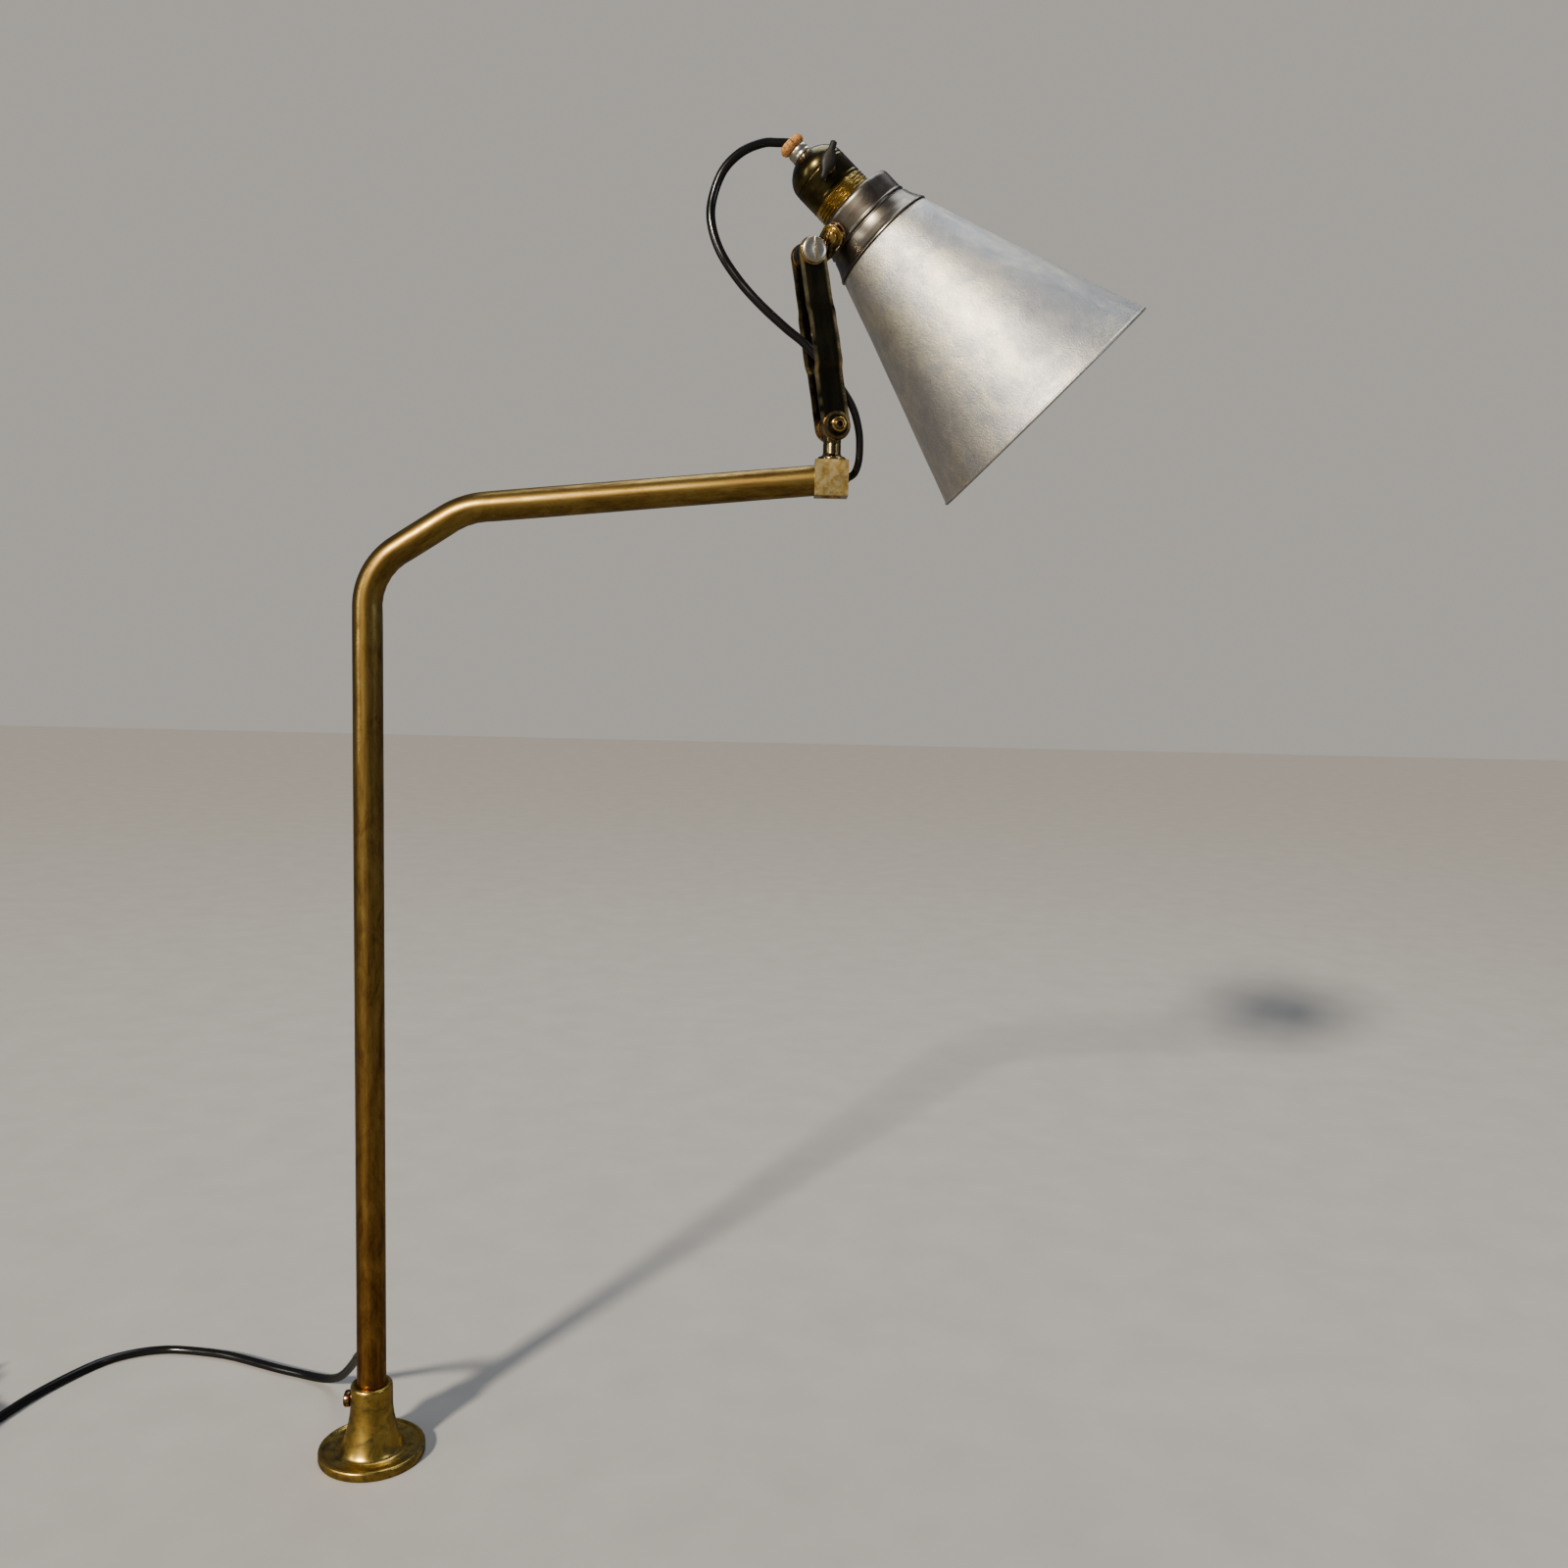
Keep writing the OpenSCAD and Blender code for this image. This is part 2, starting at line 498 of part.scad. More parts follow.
module flex_at_head() flex_color() {
  sweep(trim(smooth(upper_loop2, 3), 0.4, 0), flex_r, 10, [0, 1, 0]);
  head_frame() translate([0, 0, 54]) cylinder(r = flex_r, h = 16.4);
}

// mains lead: out of the bush, down to the bench and away to the stored coil
lead_r = 2.5;
lead_route = [[-5.5, 7.9, 52], [-8.6, 12.4, 50.7], [-12.9, 19.8, 46.2], [-19, 31.5, 36.8],
  [-26.6, 44.8, 25], [-35.4, 57.4, 13.6], [-45.5, 67.8, 6.2], [-56, 74.5, 3.4], [-68, 80, 2.6], [-82, 85, 2.6],
  [-100, 92.5, 2.6], [-121, 100.6, 2.6], [-148, 105.5, 2.6], [-166, 105, 2.6], [-182, 98.5, 2.6],
  [-195, 87, 2.6], [-207, 66, 2.6], [-216, 44, 2.6], [-222, 22, 2.6], [-226.9, 3.2, 2.6]];
coil_c = [-266, -4];
module mains_flex() flex_color() sweep(trim(smooth(lead_route, 3), 0.6, 0), lead_r, 8, [0, 0, 1]);
module mains_flex_coil() flex_color() translate([coil_c[0], coil_c[1], 0]) rotate_extrude()
  polygon([[coil_r - 8, 0.6], [coil_r - 7.2, 0], [coil_r + 7.2, 0], [coil_r + 8, 0.6], [coil_r + 8, 13.6],
    [coil_r + 7, 15.2], [coil_r - 7, 15.2], [coil_r - 8, 13.6]]);
// the plug lies on the stored coil, pins pointing along +Y
plug_c = [coil_c[0] - 20, coil_c[1] + 17, 22.2];
module plug_body() color([0.04, 0.04, 0.04]) translate(plug_c) rotate([90, 0, 0])
  linear_extrude(34, center = true) polygon([[-16, -3.5], [-12.5, -7], [12.5, -7], [16, -3.5],
    [16, 3.5], [12.5, 7], [-12.5, 7], [-16, 3.5]]);
module plug_pins() color([0.8, 0.75, 0.6]) translate(plug_c) for (s = [-1, 1])
  translate([s * 9.3, 17, 0]) rotate([-90, 0, 0]) cylinder(r = 2, h = 19);

base_flange();
flange_set_screw();
post_tube();
post_exit_bush();
end_block();
stem_thrust_washer();
swivel_stem();
stem_retaining_screw();
arm_plate_front();
arm_plate_back();
lower_pivot_bolt();
lower_pivot_washers();
lower_pivot_nut();
lower_friction_washers();
upper_pivot_screw();
upper_pivot_washers();
upper_pivot_nut();
upper_friction_washers();
knuckle();
head_pivot_screw();
head_pivot_washer();
head_friction_washer();
collar();
shade();
shade_ring();
holder_barrel();
holder_body();
holder_cap();
cord_grip_nut();
cord_grip_halves();
holder_insulator();
contact_plunger_left();
contact_plunger_right();
plunger_springs();
terminal_screws();
switch_bush();
switch_spindle();
switch_key();
flex_in_post();
flex_at_block();
flex_at_stem();
flex_at_arm();
flex_at_head();
mains_flex();
mains_flex_coil();
plug_body();
plug_pins();
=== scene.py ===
import bpy, bmesh, math, json
from mathutils import Matrix, Vector, noise


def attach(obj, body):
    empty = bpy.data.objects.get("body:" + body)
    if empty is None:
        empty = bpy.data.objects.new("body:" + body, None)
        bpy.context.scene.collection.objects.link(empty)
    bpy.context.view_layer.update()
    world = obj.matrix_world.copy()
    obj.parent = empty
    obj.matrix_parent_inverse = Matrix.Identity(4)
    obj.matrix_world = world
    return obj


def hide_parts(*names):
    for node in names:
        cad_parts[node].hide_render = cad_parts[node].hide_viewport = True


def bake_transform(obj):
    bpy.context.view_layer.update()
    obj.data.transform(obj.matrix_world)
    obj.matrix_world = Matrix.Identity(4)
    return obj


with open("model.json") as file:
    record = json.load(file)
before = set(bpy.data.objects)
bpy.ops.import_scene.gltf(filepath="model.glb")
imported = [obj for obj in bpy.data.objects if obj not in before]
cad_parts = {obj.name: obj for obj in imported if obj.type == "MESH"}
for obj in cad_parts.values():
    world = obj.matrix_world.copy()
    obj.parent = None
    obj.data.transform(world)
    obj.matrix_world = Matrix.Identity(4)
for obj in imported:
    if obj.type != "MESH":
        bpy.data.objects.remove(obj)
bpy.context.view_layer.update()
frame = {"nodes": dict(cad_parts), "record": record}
NODES = frame["nodes"]
K = 0.001
pi = math.pi

# ------------------------------------------------------------ camera
pitch, roll = math.radians(5.5), math.radians(1.29)
R = Vector((math.cos(roll), 0, math.sin(roll)))
up0 = Vector((-math.sin(roll), 0, math.cos(roll)))
F = math.cos(pitch) * Vector((0, 1, 0)) - math.sin(pitch) * up0
U = math.sin(pitch) * Vector((0, 1, 0)) + math.cos(pitch) * up0
cam_data = bpy.data.cameras.new("camera")
cam_data.sensor_width = 36.0
cam_data.lens = 32.625
cam_data.clip_start = 0.02
cam = bpy.data.objects.new("camera", cam_data)
bpy.context.scene.collection.objects.link(cam)
m = Matrix.Identity(4)
for i in range(3):
    m[i][0], m[i][1], m[i][2] = R[i], U[i], -F[i]
m[0][3], m[1][3], m[2][3] = 0.2203, -0.7555, 0.4540
cam.matrix_world = m
bpy.context.scene.camera = cam

# ------------------------------------------------------------ frames of the CAD model (mm)
T = Matrix.Translation
def Rx(a): return Matrix.Rotation(math.radians(a), 4, "X")
def Ry(a): return Matrix.Rotation(math.radians(a), 4, "Y")
def Rz(a): return Matrix.Rotation(math.radians(a), 4, "Z")
I4 = Matrix.Identity(4)
LINK = 87.1
BX, BZ = 243.0, 542.0
BTOP, BBOT = BZ + 9.15, BZ - 9.15
ARM = T((BX, 0, 568.9)) @ Rz(17.5) @ Ry(-10.3)
YAW = T((BX, 0, 568.9)) @ Rz(17.5)
UPPER = ARM @ T((0, 0, LINK))
HEAD = T((267.6, 10, 665.8)) @ Ry(-46)
RAD = HEAD @ T((0, 0, 17.5)) @ Rz(-48) @ Rx(90)
KEY = HEAD @ T((0, 0, 44.5)) @ Rz(5) @ Rx(90)
EXIT = T((0, 0, 52)) @ Rz(125) @ Ry(90)
PF, UF = 4.95 + 1.5, 6.0 + 1.5

# ------------------------------------------------------------ mesh tools
def link(name, me):
    o = bpy.data.objects.new(name, me)
    bpy.context.scene.collection.objects.link(o)
    return o

def build(name, verts, faces, M=I4):
    """closed mesh from mm points, placed by M, in metres"""
    me = bpy.data.meshes.new(name)
    me.from_pydata([tuple((M @ Vector(v)) * K) for v in verts], [], faces)
    bm = bmesh.new()
    bm.from_mesh(me)
    bmesh.ops.remove_doubles(bm, verts=bm.verts, dist=1e-7)
    bmesh.ops.recalc_face_normals(bm, faces=bm.faces)
    bm.to_mesh(me)
    bm.free()
    return link(name, me)

def lathe(name, prof, M=I4, seg=96, loop=False, rfun=None):
    """turned solid about local Z. prof is (r, z); loop joins the last point to the first"""
    verts, rows = [], []
    for r, z in prof:
        if r < 1e-6:
            rows.append([len(verts)] * seg)
            verts.append((0, 0, z))
        else:
            row = []
            for k in range(seg):
                a = 2 * pi * k / seg
                rr = r if rfun is None else rfun(r, z, a)
                row.append(len(verts))
                verts.append((rr * math.cos(a), rr * math.sin(a), z))
            rows.append(row)
    faces = []
    n = len(rows)
    for i in range(n if loop else n - 1):
        A, B = rows[i], rows[(i + 1) % n]
        for k in range(seg):
            k2 = (k + 1) % seg
            f = []
            for v in (A[k], A[k2], B[k2], B[k]):
                if v not in f:
                    f.append(v)
            if len(f) > 2:
                faces.append(f)
    return build(name, verts, faces, M)

def fil(pts, r=0.3, n=3, keep=()):
    """rounds the corners of a profile with small arcs"""
    out = []
    L = len(pts)
    for i, p in enumerate(pts):
        if i in (0, L - 1) or i in keep:
            out.append(p)
            continue
        P, A, B = Vector(p), Vector(pts[i - 1]), Vector(pts[i + 1])
        u, v = (A - P), (B - P)
        if u.length < 1e-6 or v.length < 1e-6 or abs(u.normalized().cross(v.normalized())) < 0.12:
            out.append(p)
            continue
        d = min(r, u.length * 0.45, v.length * 0.45)
        a, b = P + u.normalized() * d, P + v.normalized() * d
        for k in range(n + 1):
            t = k / n
            q = a * (1 - t) ** 2 + P * (2 * t * (1 - t)) + b * t * t
            out.append((q.x, q.y))
    return out

def cr(p, n):
    """smooth points through control points"""
    out = []
    k = len(p)
    for i in range(k - 1):
        a, b, c, d = (Vector(p[max(i - 1, 0)]), Vector(p[i]), Vector(p[i + 1]), Vector(p[min(i + 2, k - 1)]))
        for j in range(n):
            t = j / n
            out.append(0.5 * ((2 * b) + (c - a) * t + (2 * a - 5 * b + 4 * c - d) * t * t
                              + (3 * b - a - 3 * c + d) * t ** 3))
    out.append(Vector(p[-1]))
    return out

def frames(path, up):
    n = len(path)
    res = []
    u = Vector(up)
    for i in range(n):
        t = (path[min(i + 1, n - 1)] - path[max(i - 1, 0)]).normalized()
        u = (u - u.dot(t) * t).normalized()
        res.append((t, u, t.cross(u)))
    return res

def sweep(name, path, rad, sides=16, up=(0, 0, 1), inner=None, rfun=None, sect=None):
    """tube along path (mm). rfun(s, a) scales the radius; sect(a, s) gives (x, y) in the section"""
    path = [Vector(p) for p in path]
    fr = frames(path, up)
    s = [0.0]
    for i in range(1, len(path)):
        s.append(s[-1] + (path[i] - path[i - 1]).length)
    verts, tags = [], []
    def ring(i, r, f):
        t, u, v = fr[i]
        row = []
        for k in range(sides):
            a = 2 * pi * k / sides
            if sect is not None:
                x, y = sect(a, s[i])
            else:
                rr = (r[i] if isinstance(r, (list, tuple)) else r)
                if f is not None:
                    rr = f(rr, s[i], a)
                x, y = rr * math.cos(a), rr * math.sin(a)
            row.append(len(verts))
            verts.append(path[i] + u * x + v * y)
            tags.append((x, y, s[i]))
        return row
    n = len(path)
    rows = [ring(i, rad, rfun) for i in range(n)]
    if inner is not None:
        rows += [ring(i, inner, None) for i in range(n - 1, -1, -1)]
    faces = []
    N = len(rows)
    for i in range(N if inner is not None else N - 1):
        A, B = rows[i], rows[(i + 1) % N]
        for k in range(sides):
            k2 = (k + 1) % sides
            faces.append((A[k], A[k2], B[k2], B[k]))
    if inner is None:
        faces.append(tuple(rows[0]))
        faces.append(tuple(rows[-1]))
    me = bpy.data.meshes.new(name)
    me.from_pydata([tuple(v * K) for v in verts], [], faces)
    at = me.attributes.new("sw", "FLOAT_VECTOR", "POINT")
    at.data.foreach_set("vector", [c for t in tags for c in t])
    bm = bmesh.new()
    bm.from_mesh(me)
    bmesh.ops.recalc_face_normals(bm, faces=bm.faces)
    bm.to_mesh(me)
    bm.free()
    return link(name, me)

def apply(o):
    dg = bpy.context.evaluated_depsgraph_get()
    me = bpy.data.meshes.new_from_object(o.evaluated_get(dg))
    o.modifiers.clear()
    o.data = me
    return o

def boo(o, cutter, op="DIFFERENCE"):
    md = o.modifiers.new("b", "BOOLEAN")
    md.operation = op
    md.solver = "EXACT"
    md.object = cutter
    apply(o)
    bpy.data.objects.remove(cutter)
    return o

def bevel(o, w, seg=2, ang=30):
    md = o.modifiers.new("bev", "BEVEL")
    md.width = w * K
    md.segments = seg
    md.limit_method = "ANGLE"
    md.angle_limit = math.radians(ang)
    md.use_clamp_overlap = True
    return apply(o)

def block(name, lo, hi, M=I4):
    x0, y0, z0 = lo
    x1, y1, z1 = hi
    v = [(x, y, z) for z in (z0, z1) for y in (y0, y1) for x in (x0, x1)]
    f = [(0, 1, 3, 2), (4, 5, 7, 6), (0, 1, 5, 4), (2, 3, 7, 6), (0, 2, 6, 4), (1, 3, 7, 5)]
    return build(name, v, f, M)

def rod(name, r, z0, z1, M=I4, seg=48, c=0.0):
    p = [(0, z0), (r, z0), (r, z1), (0, z1)]
    if c:
        p = [(0, z0), (r - c, z0), (r, z0 + c), (r, z1 - c), (r - c, z1), (0, z1)]
    return lathe(name, p, M, seg)

def done(o, mat, body=None, nodes=(), M=None, sharp=34, bl=None):
    me = o.data
    if M is not None:
        inv = M.inverted()
        at = me.attributes.get("sw") or me.attributes.new("sw", "FLOAT_VECTOR", "POINT")
        flat = []
        for v in me.vertices:
            q = inv @ (v.co / K)
            flat += [q.x, q.y, q.z]
        at.data.foreach_set("vector", flat)
    me.polygons.foreach_set("use_smooth", [True] * len(me.polygons))
    me.set_sharp_from_angle(angle=math.radians(sharp))
    me.materials.clear()
    me.materials.append(mat)
    if bl:
        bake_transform(o)
    elif body:
        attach(o, body)
    if nodes:
        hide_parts(*nodes)
    return o

# ------------------------------------------------------------ materials
class Nt:
    def __init__(self, name, src="sw"):
        self.mat = bpy.data.materials.new(name)
        self.mat.use_nodes = True
        self.nt = self.mat.node_tree
        self.bs = self.nt.nodes["Principled BSDF"]
        self.x = 0
        if src == "sw":
            a = self.node("ShaderNodeAttribute")
            a.attribute_name = "sw"
            self.co = a.outputs["Vector"]
        else:
            a = self.node("ShaderNodeTexCoord")
            s = self.node("ShaderNodeVectorMath")
            s.operation = "SCALE"
            s.inputs["Scale"].default_value = 1000.0
            self.nt.links.new(a.outputs["Object"], s.inputs[0])
            self.co = s.outputs[0]
    def node(self, kind):
        n = self.nt.nodes.new(kind)
        n.location = (self.x, -200)
        self.x -= 60
        return n
    def link(self, a, b):
        self.nt.links.new(a, b)
    def scaled(self, v, co=None):
        n = self.node("ShaderNodeVectorMath")
        n.operation = "MULTIPLY"
        n.inputs[1].default_value = v
        self.link(co or self.co, n.inputs[0])
        return n.outputs[0]
    def rings(self, kr, kz):
        """(r, z) of the turned piece as a vector, so that noise runs in rings"""
        sep = self.node("ShaderNodeSeparateXYZ")
        self.link(self.co, sep.inputs[0])
        xy = self.node("ShaderNodeCombineXYZ")
        self.link(sep.outputs[0], xy.inputs[0])
        self.link(sep.outputs[1], xy.inputs[1])
        ln = self.node("ShaderNodeVectorMath")
        ln.operation = "LENGTH"
        self.link(xy.outputs[0], ln.inputs[0])
        cb = self.node("ShaderNodeCombineXYZ")
        self.link(ln.outputs["Value"], cb.inputs[0])
        self.link(sep.outputs[2], cb.inputs[2])
        return self.scaled((kr, 1, kz), cb.outputs[0])
    def noise(self, vec, scale=1.0, detail=4.0, rough=0.55, dist=0.0):
        n = self.node("ShaderNodeTexNoise")
        n.inputs["Scale"].default_value = scale
        n.inputs["Detail"].default_value = detail
        n.inputs["Roughness"].default_value = rough
        n.inputs["Distortion"].default_value = dist
        self.link(vec, n.inputs["Vector"])
        return n.outputs["Fac"]
    def voro(self, vec, scale=1.0, feature="F1"):
        n = self.node("ShaderNodeTexVoronoi")
        n.feature = feature
        n.inputs["Scale"].default_value = scale
        self.link(vec, n.inputs["Vector"])
        return n.outputs["Distance"]
    def ramp(self, fac, stops):
        n = self.node("ShaderNodeValToRGB")
        el = n.color_ramp.elements
        while len(el) > 1:
            el.remove(el[-1])
        el[0].position, el[0].color = stops[0][0], (*stops[0][1], 1)
        for p, c in stops[1:]:
            e = el.new(p)
            e.color = (*c, 1)
        self.link(fac, n.inputs["Fac"])
        return n.outputs["Color"]
    def rng(self, fac, a, b, lo=0.3, hi=0.7):
        n = self.node("ShaderNodeMapRange")
        n.inputs["From Min"].default_value = lo
        n.inputs["From Max"].default_value = hi
        n.inputs["To Min"].default_value = a
        n.inputs["To Max"].default_value = b
        self.link(fac, n.inputs["Value"])
        return n.outputs["Result"]
    def mix(self, fac, a, b, mode="MIX"):
        n = self.node("ShaderNodeMix")
        n.data_type = "RGBA"
        n.blend_type = mode
        n.clamp_factor = True
        if isinstance(fac, float):
            n.inputs[0].default_value = fac
        else:
            self.link(fac, n.inputs[0])
        for v, s in ((a, n.inputs[6]), (b, n.inputs[7])):
            if isinstance(v, tuple):
                s.default_value = (*v, 1)
            else:
                self.link(v, s)
        return n.outputs[2]
    def math(self, op, a, b):
        n = self.node("ShaderNodeMath")
        n.operation = op
        for v, s in ((a, n.inputs[0]), (b, n.inputs[1])):
            if isinstance(v, (int, float)):
                s.default_value = v
            else:
                self.link(v, s)
        return n.outputs[0]
    def edge(self, lo=0.52, hi=0.58):
        g = self.node("ShaderNodeNewGeometry")
        return self.rng(g.outputs["Pointiness"], 0.0, 1.0, lo, hi)
    def bump(self, h, dist, strength=1.0, prev=None):
        n = self.node("ShaderNodeBump")
        n.inputs["Strength"].default_value = strength
        n.inputs["Distance"].default_value = dist
        self.link(h, n.inputs["Height"])
        if prev is not None:
            self.link(prev, n.inputs["Normal"])
        return n.outputs["Normal"]
    def out(self, color, rough, normal=None, metallic=1.0, **kw):
        b = self.bs
        if isinstance(color, tuple):
            b.inputs["Base Color"].default_value = (*color, 1)
        else:
            self.link(color, b.inputs["Base Color"])
        if isinstance(rough, float):
            b.inputs["Roughness"].default_value = rough
        else:
            self.link(rough, b.inputs["Roughness"])
        b.inputs["Metallic"].default_value = metallic
        for k, v in kw.items():
            b.inputs[k.replace("_", " ")].default_value = v
        if normal is not None:
            self.link(normal, b.inputs["Normal"])
        return self.mat

def metal(name, dark, mid, light, rough=(0.2, 0.4), src="sw", grain=(0.5, 0.5, 0.5), patch=0.05,
          tarnish_and_reflection=None, tarnish_reflection_span=(0.55, 0.75), ring=0.0, edge_wear_and_glint=None, wear_glint_max=0.7, fine=2.0, bumpd=0.000008, edge=(0.53, 0.62), wear_glint_scale=0.35):
    n = Nt(name, src)
    g = n.noise(n.scaled(grain), 1.0, 6.0, 0.6)
    p = n.noise(n.scaled((patch,) * 3), 1.0, 4.0, 0.55, 0.6)
    f = n.math("ADD", n.math("MULTIPLY", g, 0.35), n.math("MULTIPLY", p, 0.65))
    c = n.ramp(f, [(0.33, dark), (0.50, mid), (0.66, light)])
    # second colour laid in patches by noise: tarnish, and on the base flange also a painted dark green reflection
    if tarnish_and_reflection:
        t = n.noise(n.scaled((patch * 2.3, patch * 2.3, patch * 2.3)), 1.0, 8.0, 0.65, 0.9)
        c = n.mix(n.rng(t, 0.0, 1.0, *tarnish_reflection_span), c, tarnish_and_reflection)
    # bright colour on convex edges, broken by noise: wear on the edges, and on the arm plates also a painted highlight
    # where the edges catch the light
    if edge_wear_and_glint:
        w = n.math("MULTIPLY", n.edge(*edge), n.rng(n.noise(n.scaled((wear_glint_scale,) * 3), 1.0, 3.0), 0.0, wear_glint_max, 0.38, 0.62))
        c = n.mix(w, c, edge_wear_and_glint)
    fn = n.noise(n.scaled((fine,) * 3), 1.0, 5.0, 0.6)
    r = n.rng(n.math("ADD", n.math("MULTIPLY", fn, 0.35), n.math("MULTIPLY", p, 0.65)), rough[1], rough[0], 0.35, 0.65)
    nb = n.bump(fn, bumpd, 0.4)
    if ring:
        rg = n.noise(n.rings(2.2, 2.2), 1.0, 3.0, 0.6)
        nb = n.bump(rg, ring, 0.35, nb)
    else:
        gg = n.noise(n.scaled(tuple(v * 3 for v in grain)), 1.0, 4.0, 0.7)
        nb = n.bump(gg, bumpd * 2, 0.4, nb)
    return n.out(c, r, nb)

# tube: brass that has browned, streaked along its length
def tube_brass():
    n = Nt("aged_brass")
    st = n.noise(n.scaled((0.42, 0.42, 0.030)), 1.0, 8.0, 0.66, 0.5)
    st2 = n.noise(n.scaled((2.6, 2.6, 0.30)), 1.0, 6.0, 0.72)
    pt = n.noise(n.scaled((0.08, 0.08, 0.034)), 1.0, 7.0, 0.66, 1.2)
    f = n.math("ADD", n.math("MULTIPLY", st, 0.24), n.math("ADD", n.math("MULTIPLY", st2, 0.26), n.math("MULTIPLY", pt, 0.50)))
    c = n.ramp(f, [(0.32, (0.06, 0.030, 0.010)), (0.43, (0.17, 0.098, 0.028)), (0.51, (0.32, 0.205, 0.054)),
                   (0.59, (0.47, 0.325, 0.092)), (0.70, (0.64, 0.47, 0.16))])
    sp = n.voro(n.scaled((0.42, 0.42, 0.30)), 1.0)
    spm = n.math("MULTIPLY", n.rng(sp, 1.0, 0.0, 0.04, 0.16), n.rng(pt, 0.0, 1.0, 0.48, 0.56))
    c = n.mix(spm, c, (0.10, 0.045, 0.018))
    # redder towards the foot of the post
    sep = n.node("ShaderNodeSeparateXYZ")
    n.link(n.co, sep.inputs[0])
    low = n.rng(sep.outputs[2], 0.75, 0.0, 20.0, 320.0)
    c = n.mix(low, c, n.mix(1.0, c, (0.95, 0.62, 0.42), "MULTIPLY"))
    r = n.rng(n.math("ADD", n.math("MULTIPLY", st2, 0.4), n.math("MULTIPLY", pt, 0.6)), 0.38, 0.25, 0.40, 0.62)
    nb = n.bump(st2, 0.00002, 0.5)
    nb = n.bump(n.noise(n.scaled((0.25, 0.25, 0.05)), 1.0, 3.0), 0.00012, 0.4, nb)
    return n.out(c, r, nb)

M_TUBE = tube_brass()
# flange: the dark olive patches are partly tarnish and partly a painted dark reflection
M_FLANGE = metal("turned_brass", (0.32, 0.20, 0.042), (0.58, 0.385, 0.08), (0.80, 0.58, 0.16), (0.22, 0.36),
                 grain=(0.12, 0.12, 0.3), patch=0.05, tarnish_and_reflection=(0.13, 0.11, 0.05), tarnish_reflection_span=(0.48, 0.70), ring=0.00003, edge_wear_and_glint=(0.88, 0.70, 0.28))
M_BLOCK = metal("bright_block_brass", (0.48, 0.30, 0.062), (0.56, 0.365, 0.078), (0.66, 0.455, 0.108), (0.24, 0.36),
                grain=(0.60, 0.60, 0.05), patch=0.035, tarnish_and_reflection=(0.42, 0.215, 0.085), tarnish_reflection_span=(0.42, 0.78), edge_wear_and_glint=(0.94, 0.78, 0.38))
M_PIVOT = metal("pivot_brass", (0.09, 0.055, 0.022), (0.22, 0.145, 0.058), (0.42, 0.30, 0.13), (0.18, 0.32),
                grain=(0.5, 0.5, 0.5), patch=0.15, ring=0.00002, edge_wear_and_glint=(0.80, 0.62, 0.30))
M_GOLDSCREW = metal("screw_brass", (0.42, 0.25, 0.07), (0.68, 0.46, 0.14), (0.86, 0.66, 0.28), (0.12, 0.24),
                    grain=(0.4, 0.4, 0.4), patch=0.15, ring=0.00002, edge_wear_and_glint=(0.94, 0.80, 0.44))
M_DARKSCREW = metal("screw_dark", (0.10, 0.05, 0.03), (0.24, 0.13, 0.07), (0.45, 0.30, 0.16), (0.14, 0.28),
                    grain=(0.4, 0.4, 0.4), patch=0.15, ring=0.00002, edge_wear_and_glint=(0.8, 0.6, 0.35))
M_NICKEL = metal("nickelled_brass", (0.56, 0.50, 0.38), (0.72, 0.67, 0.55), (0.84, 0.79, 0.66), (0.22, 0.34),
                 grain=(0.2, 0.9, 0.9), patch=0.10, ring=0.00002, edge_wear_and_glint=(0.92, 0.78, 0.45))
# arm plates: dark bronzing with bright edges that are partly worn metal and partly a painted glint
M_PLATE = metal("bronzed_plate", (0.020, 0.018, 0.012), (0.044, 0.038, 0.022), (0.105, 0.088, 0.044), (0.20, 0.34),
                grain=(0.30, 0.30, 0.03), patch=0.05, edge_wear_and_glint=(0.72, 0.54, 0.25), wear_glint_max=1.0, edge=(0.55, 0.63), wear_glint_scale=0.07)
M_KNUCKLE = metal("knuckle_bronze", (0.016, 0.014, 0.011), (0.030, 0.026, 0.018), (0.075, 0.062, 0.034), (0.16, 0.32),
                  grain=(0.3, 0.3, 0.3), patch=0.12, edge_wear_and_glint=(0.42, 0.32, 0.16), wear_glint_max=0.5)
M_STEM = metal("stem_brass", (0.10, 0.075, 0.035), (0.22, 0.17, 0.08), (0.42, 0.34, 0.17), (0.12, 0.24),
               grain=(0.4, 0.4, 0.4), patch=0.12, ring=0.00002, edge_wear_and_glint=(0.7, 0.56, 0.28))
M_COLLAR = metal("gunmetal", (0.095, 0.082, 0.070), (0.19, 0.172, 0.145), (0.32, 0.292, 0.24), (0.25, 0.37),
                 grain=(0.07, 0.07, 0.3), patch=0.035, tarnish_and_reflection=(0.115, 0.078, 0.072), tarnish_reflection_span=(0.48, 0.72), ring=0.00002,
                 edge_wear_and_glint=(0.58, 0.52, 0.38), wear_glint_max=0.5)
M_HOLDER = metal("holder_bronze", (0.028, 0.022, 0.011), (0.075, 0.060, 0.024), (0.25, 0.195, 0.058), (0.19, 0.30),
                 grain=(0.10, 0.10, 0.22), patch=0.06, ring=0.00001, edge_wear_and_glint=(0.55, 0.42, 0.18), wear_glint_max=0.5)
M_THREAD = metal("thread_brass", (0.46, 0.32, 0.09), (0.70, 0.51, 0.16), (0.86, 0.68, 0.28), (0.12, 0.25),
                 grain=(0.3, 0.3, 0.3), patch=0.1, ring=0.00001)
M_FIBRE = Nt("fibre_washer", "obj")
_f = M_FIBRE.noise(M_FIBRE.scaled((0.8, 0.8, 0.8)), 1.0, 6.0)
M_FIBRE = M_FIBRE.out(M_FIBRE.ramp(_f, [(0.3, (0.10, 0.035, 0.015)), (0.7, (0.24, 0.10, 0.045))]), 0.65,
                      M_FIBRE.bump(_f, 0.00008, 0.6), 0.0)

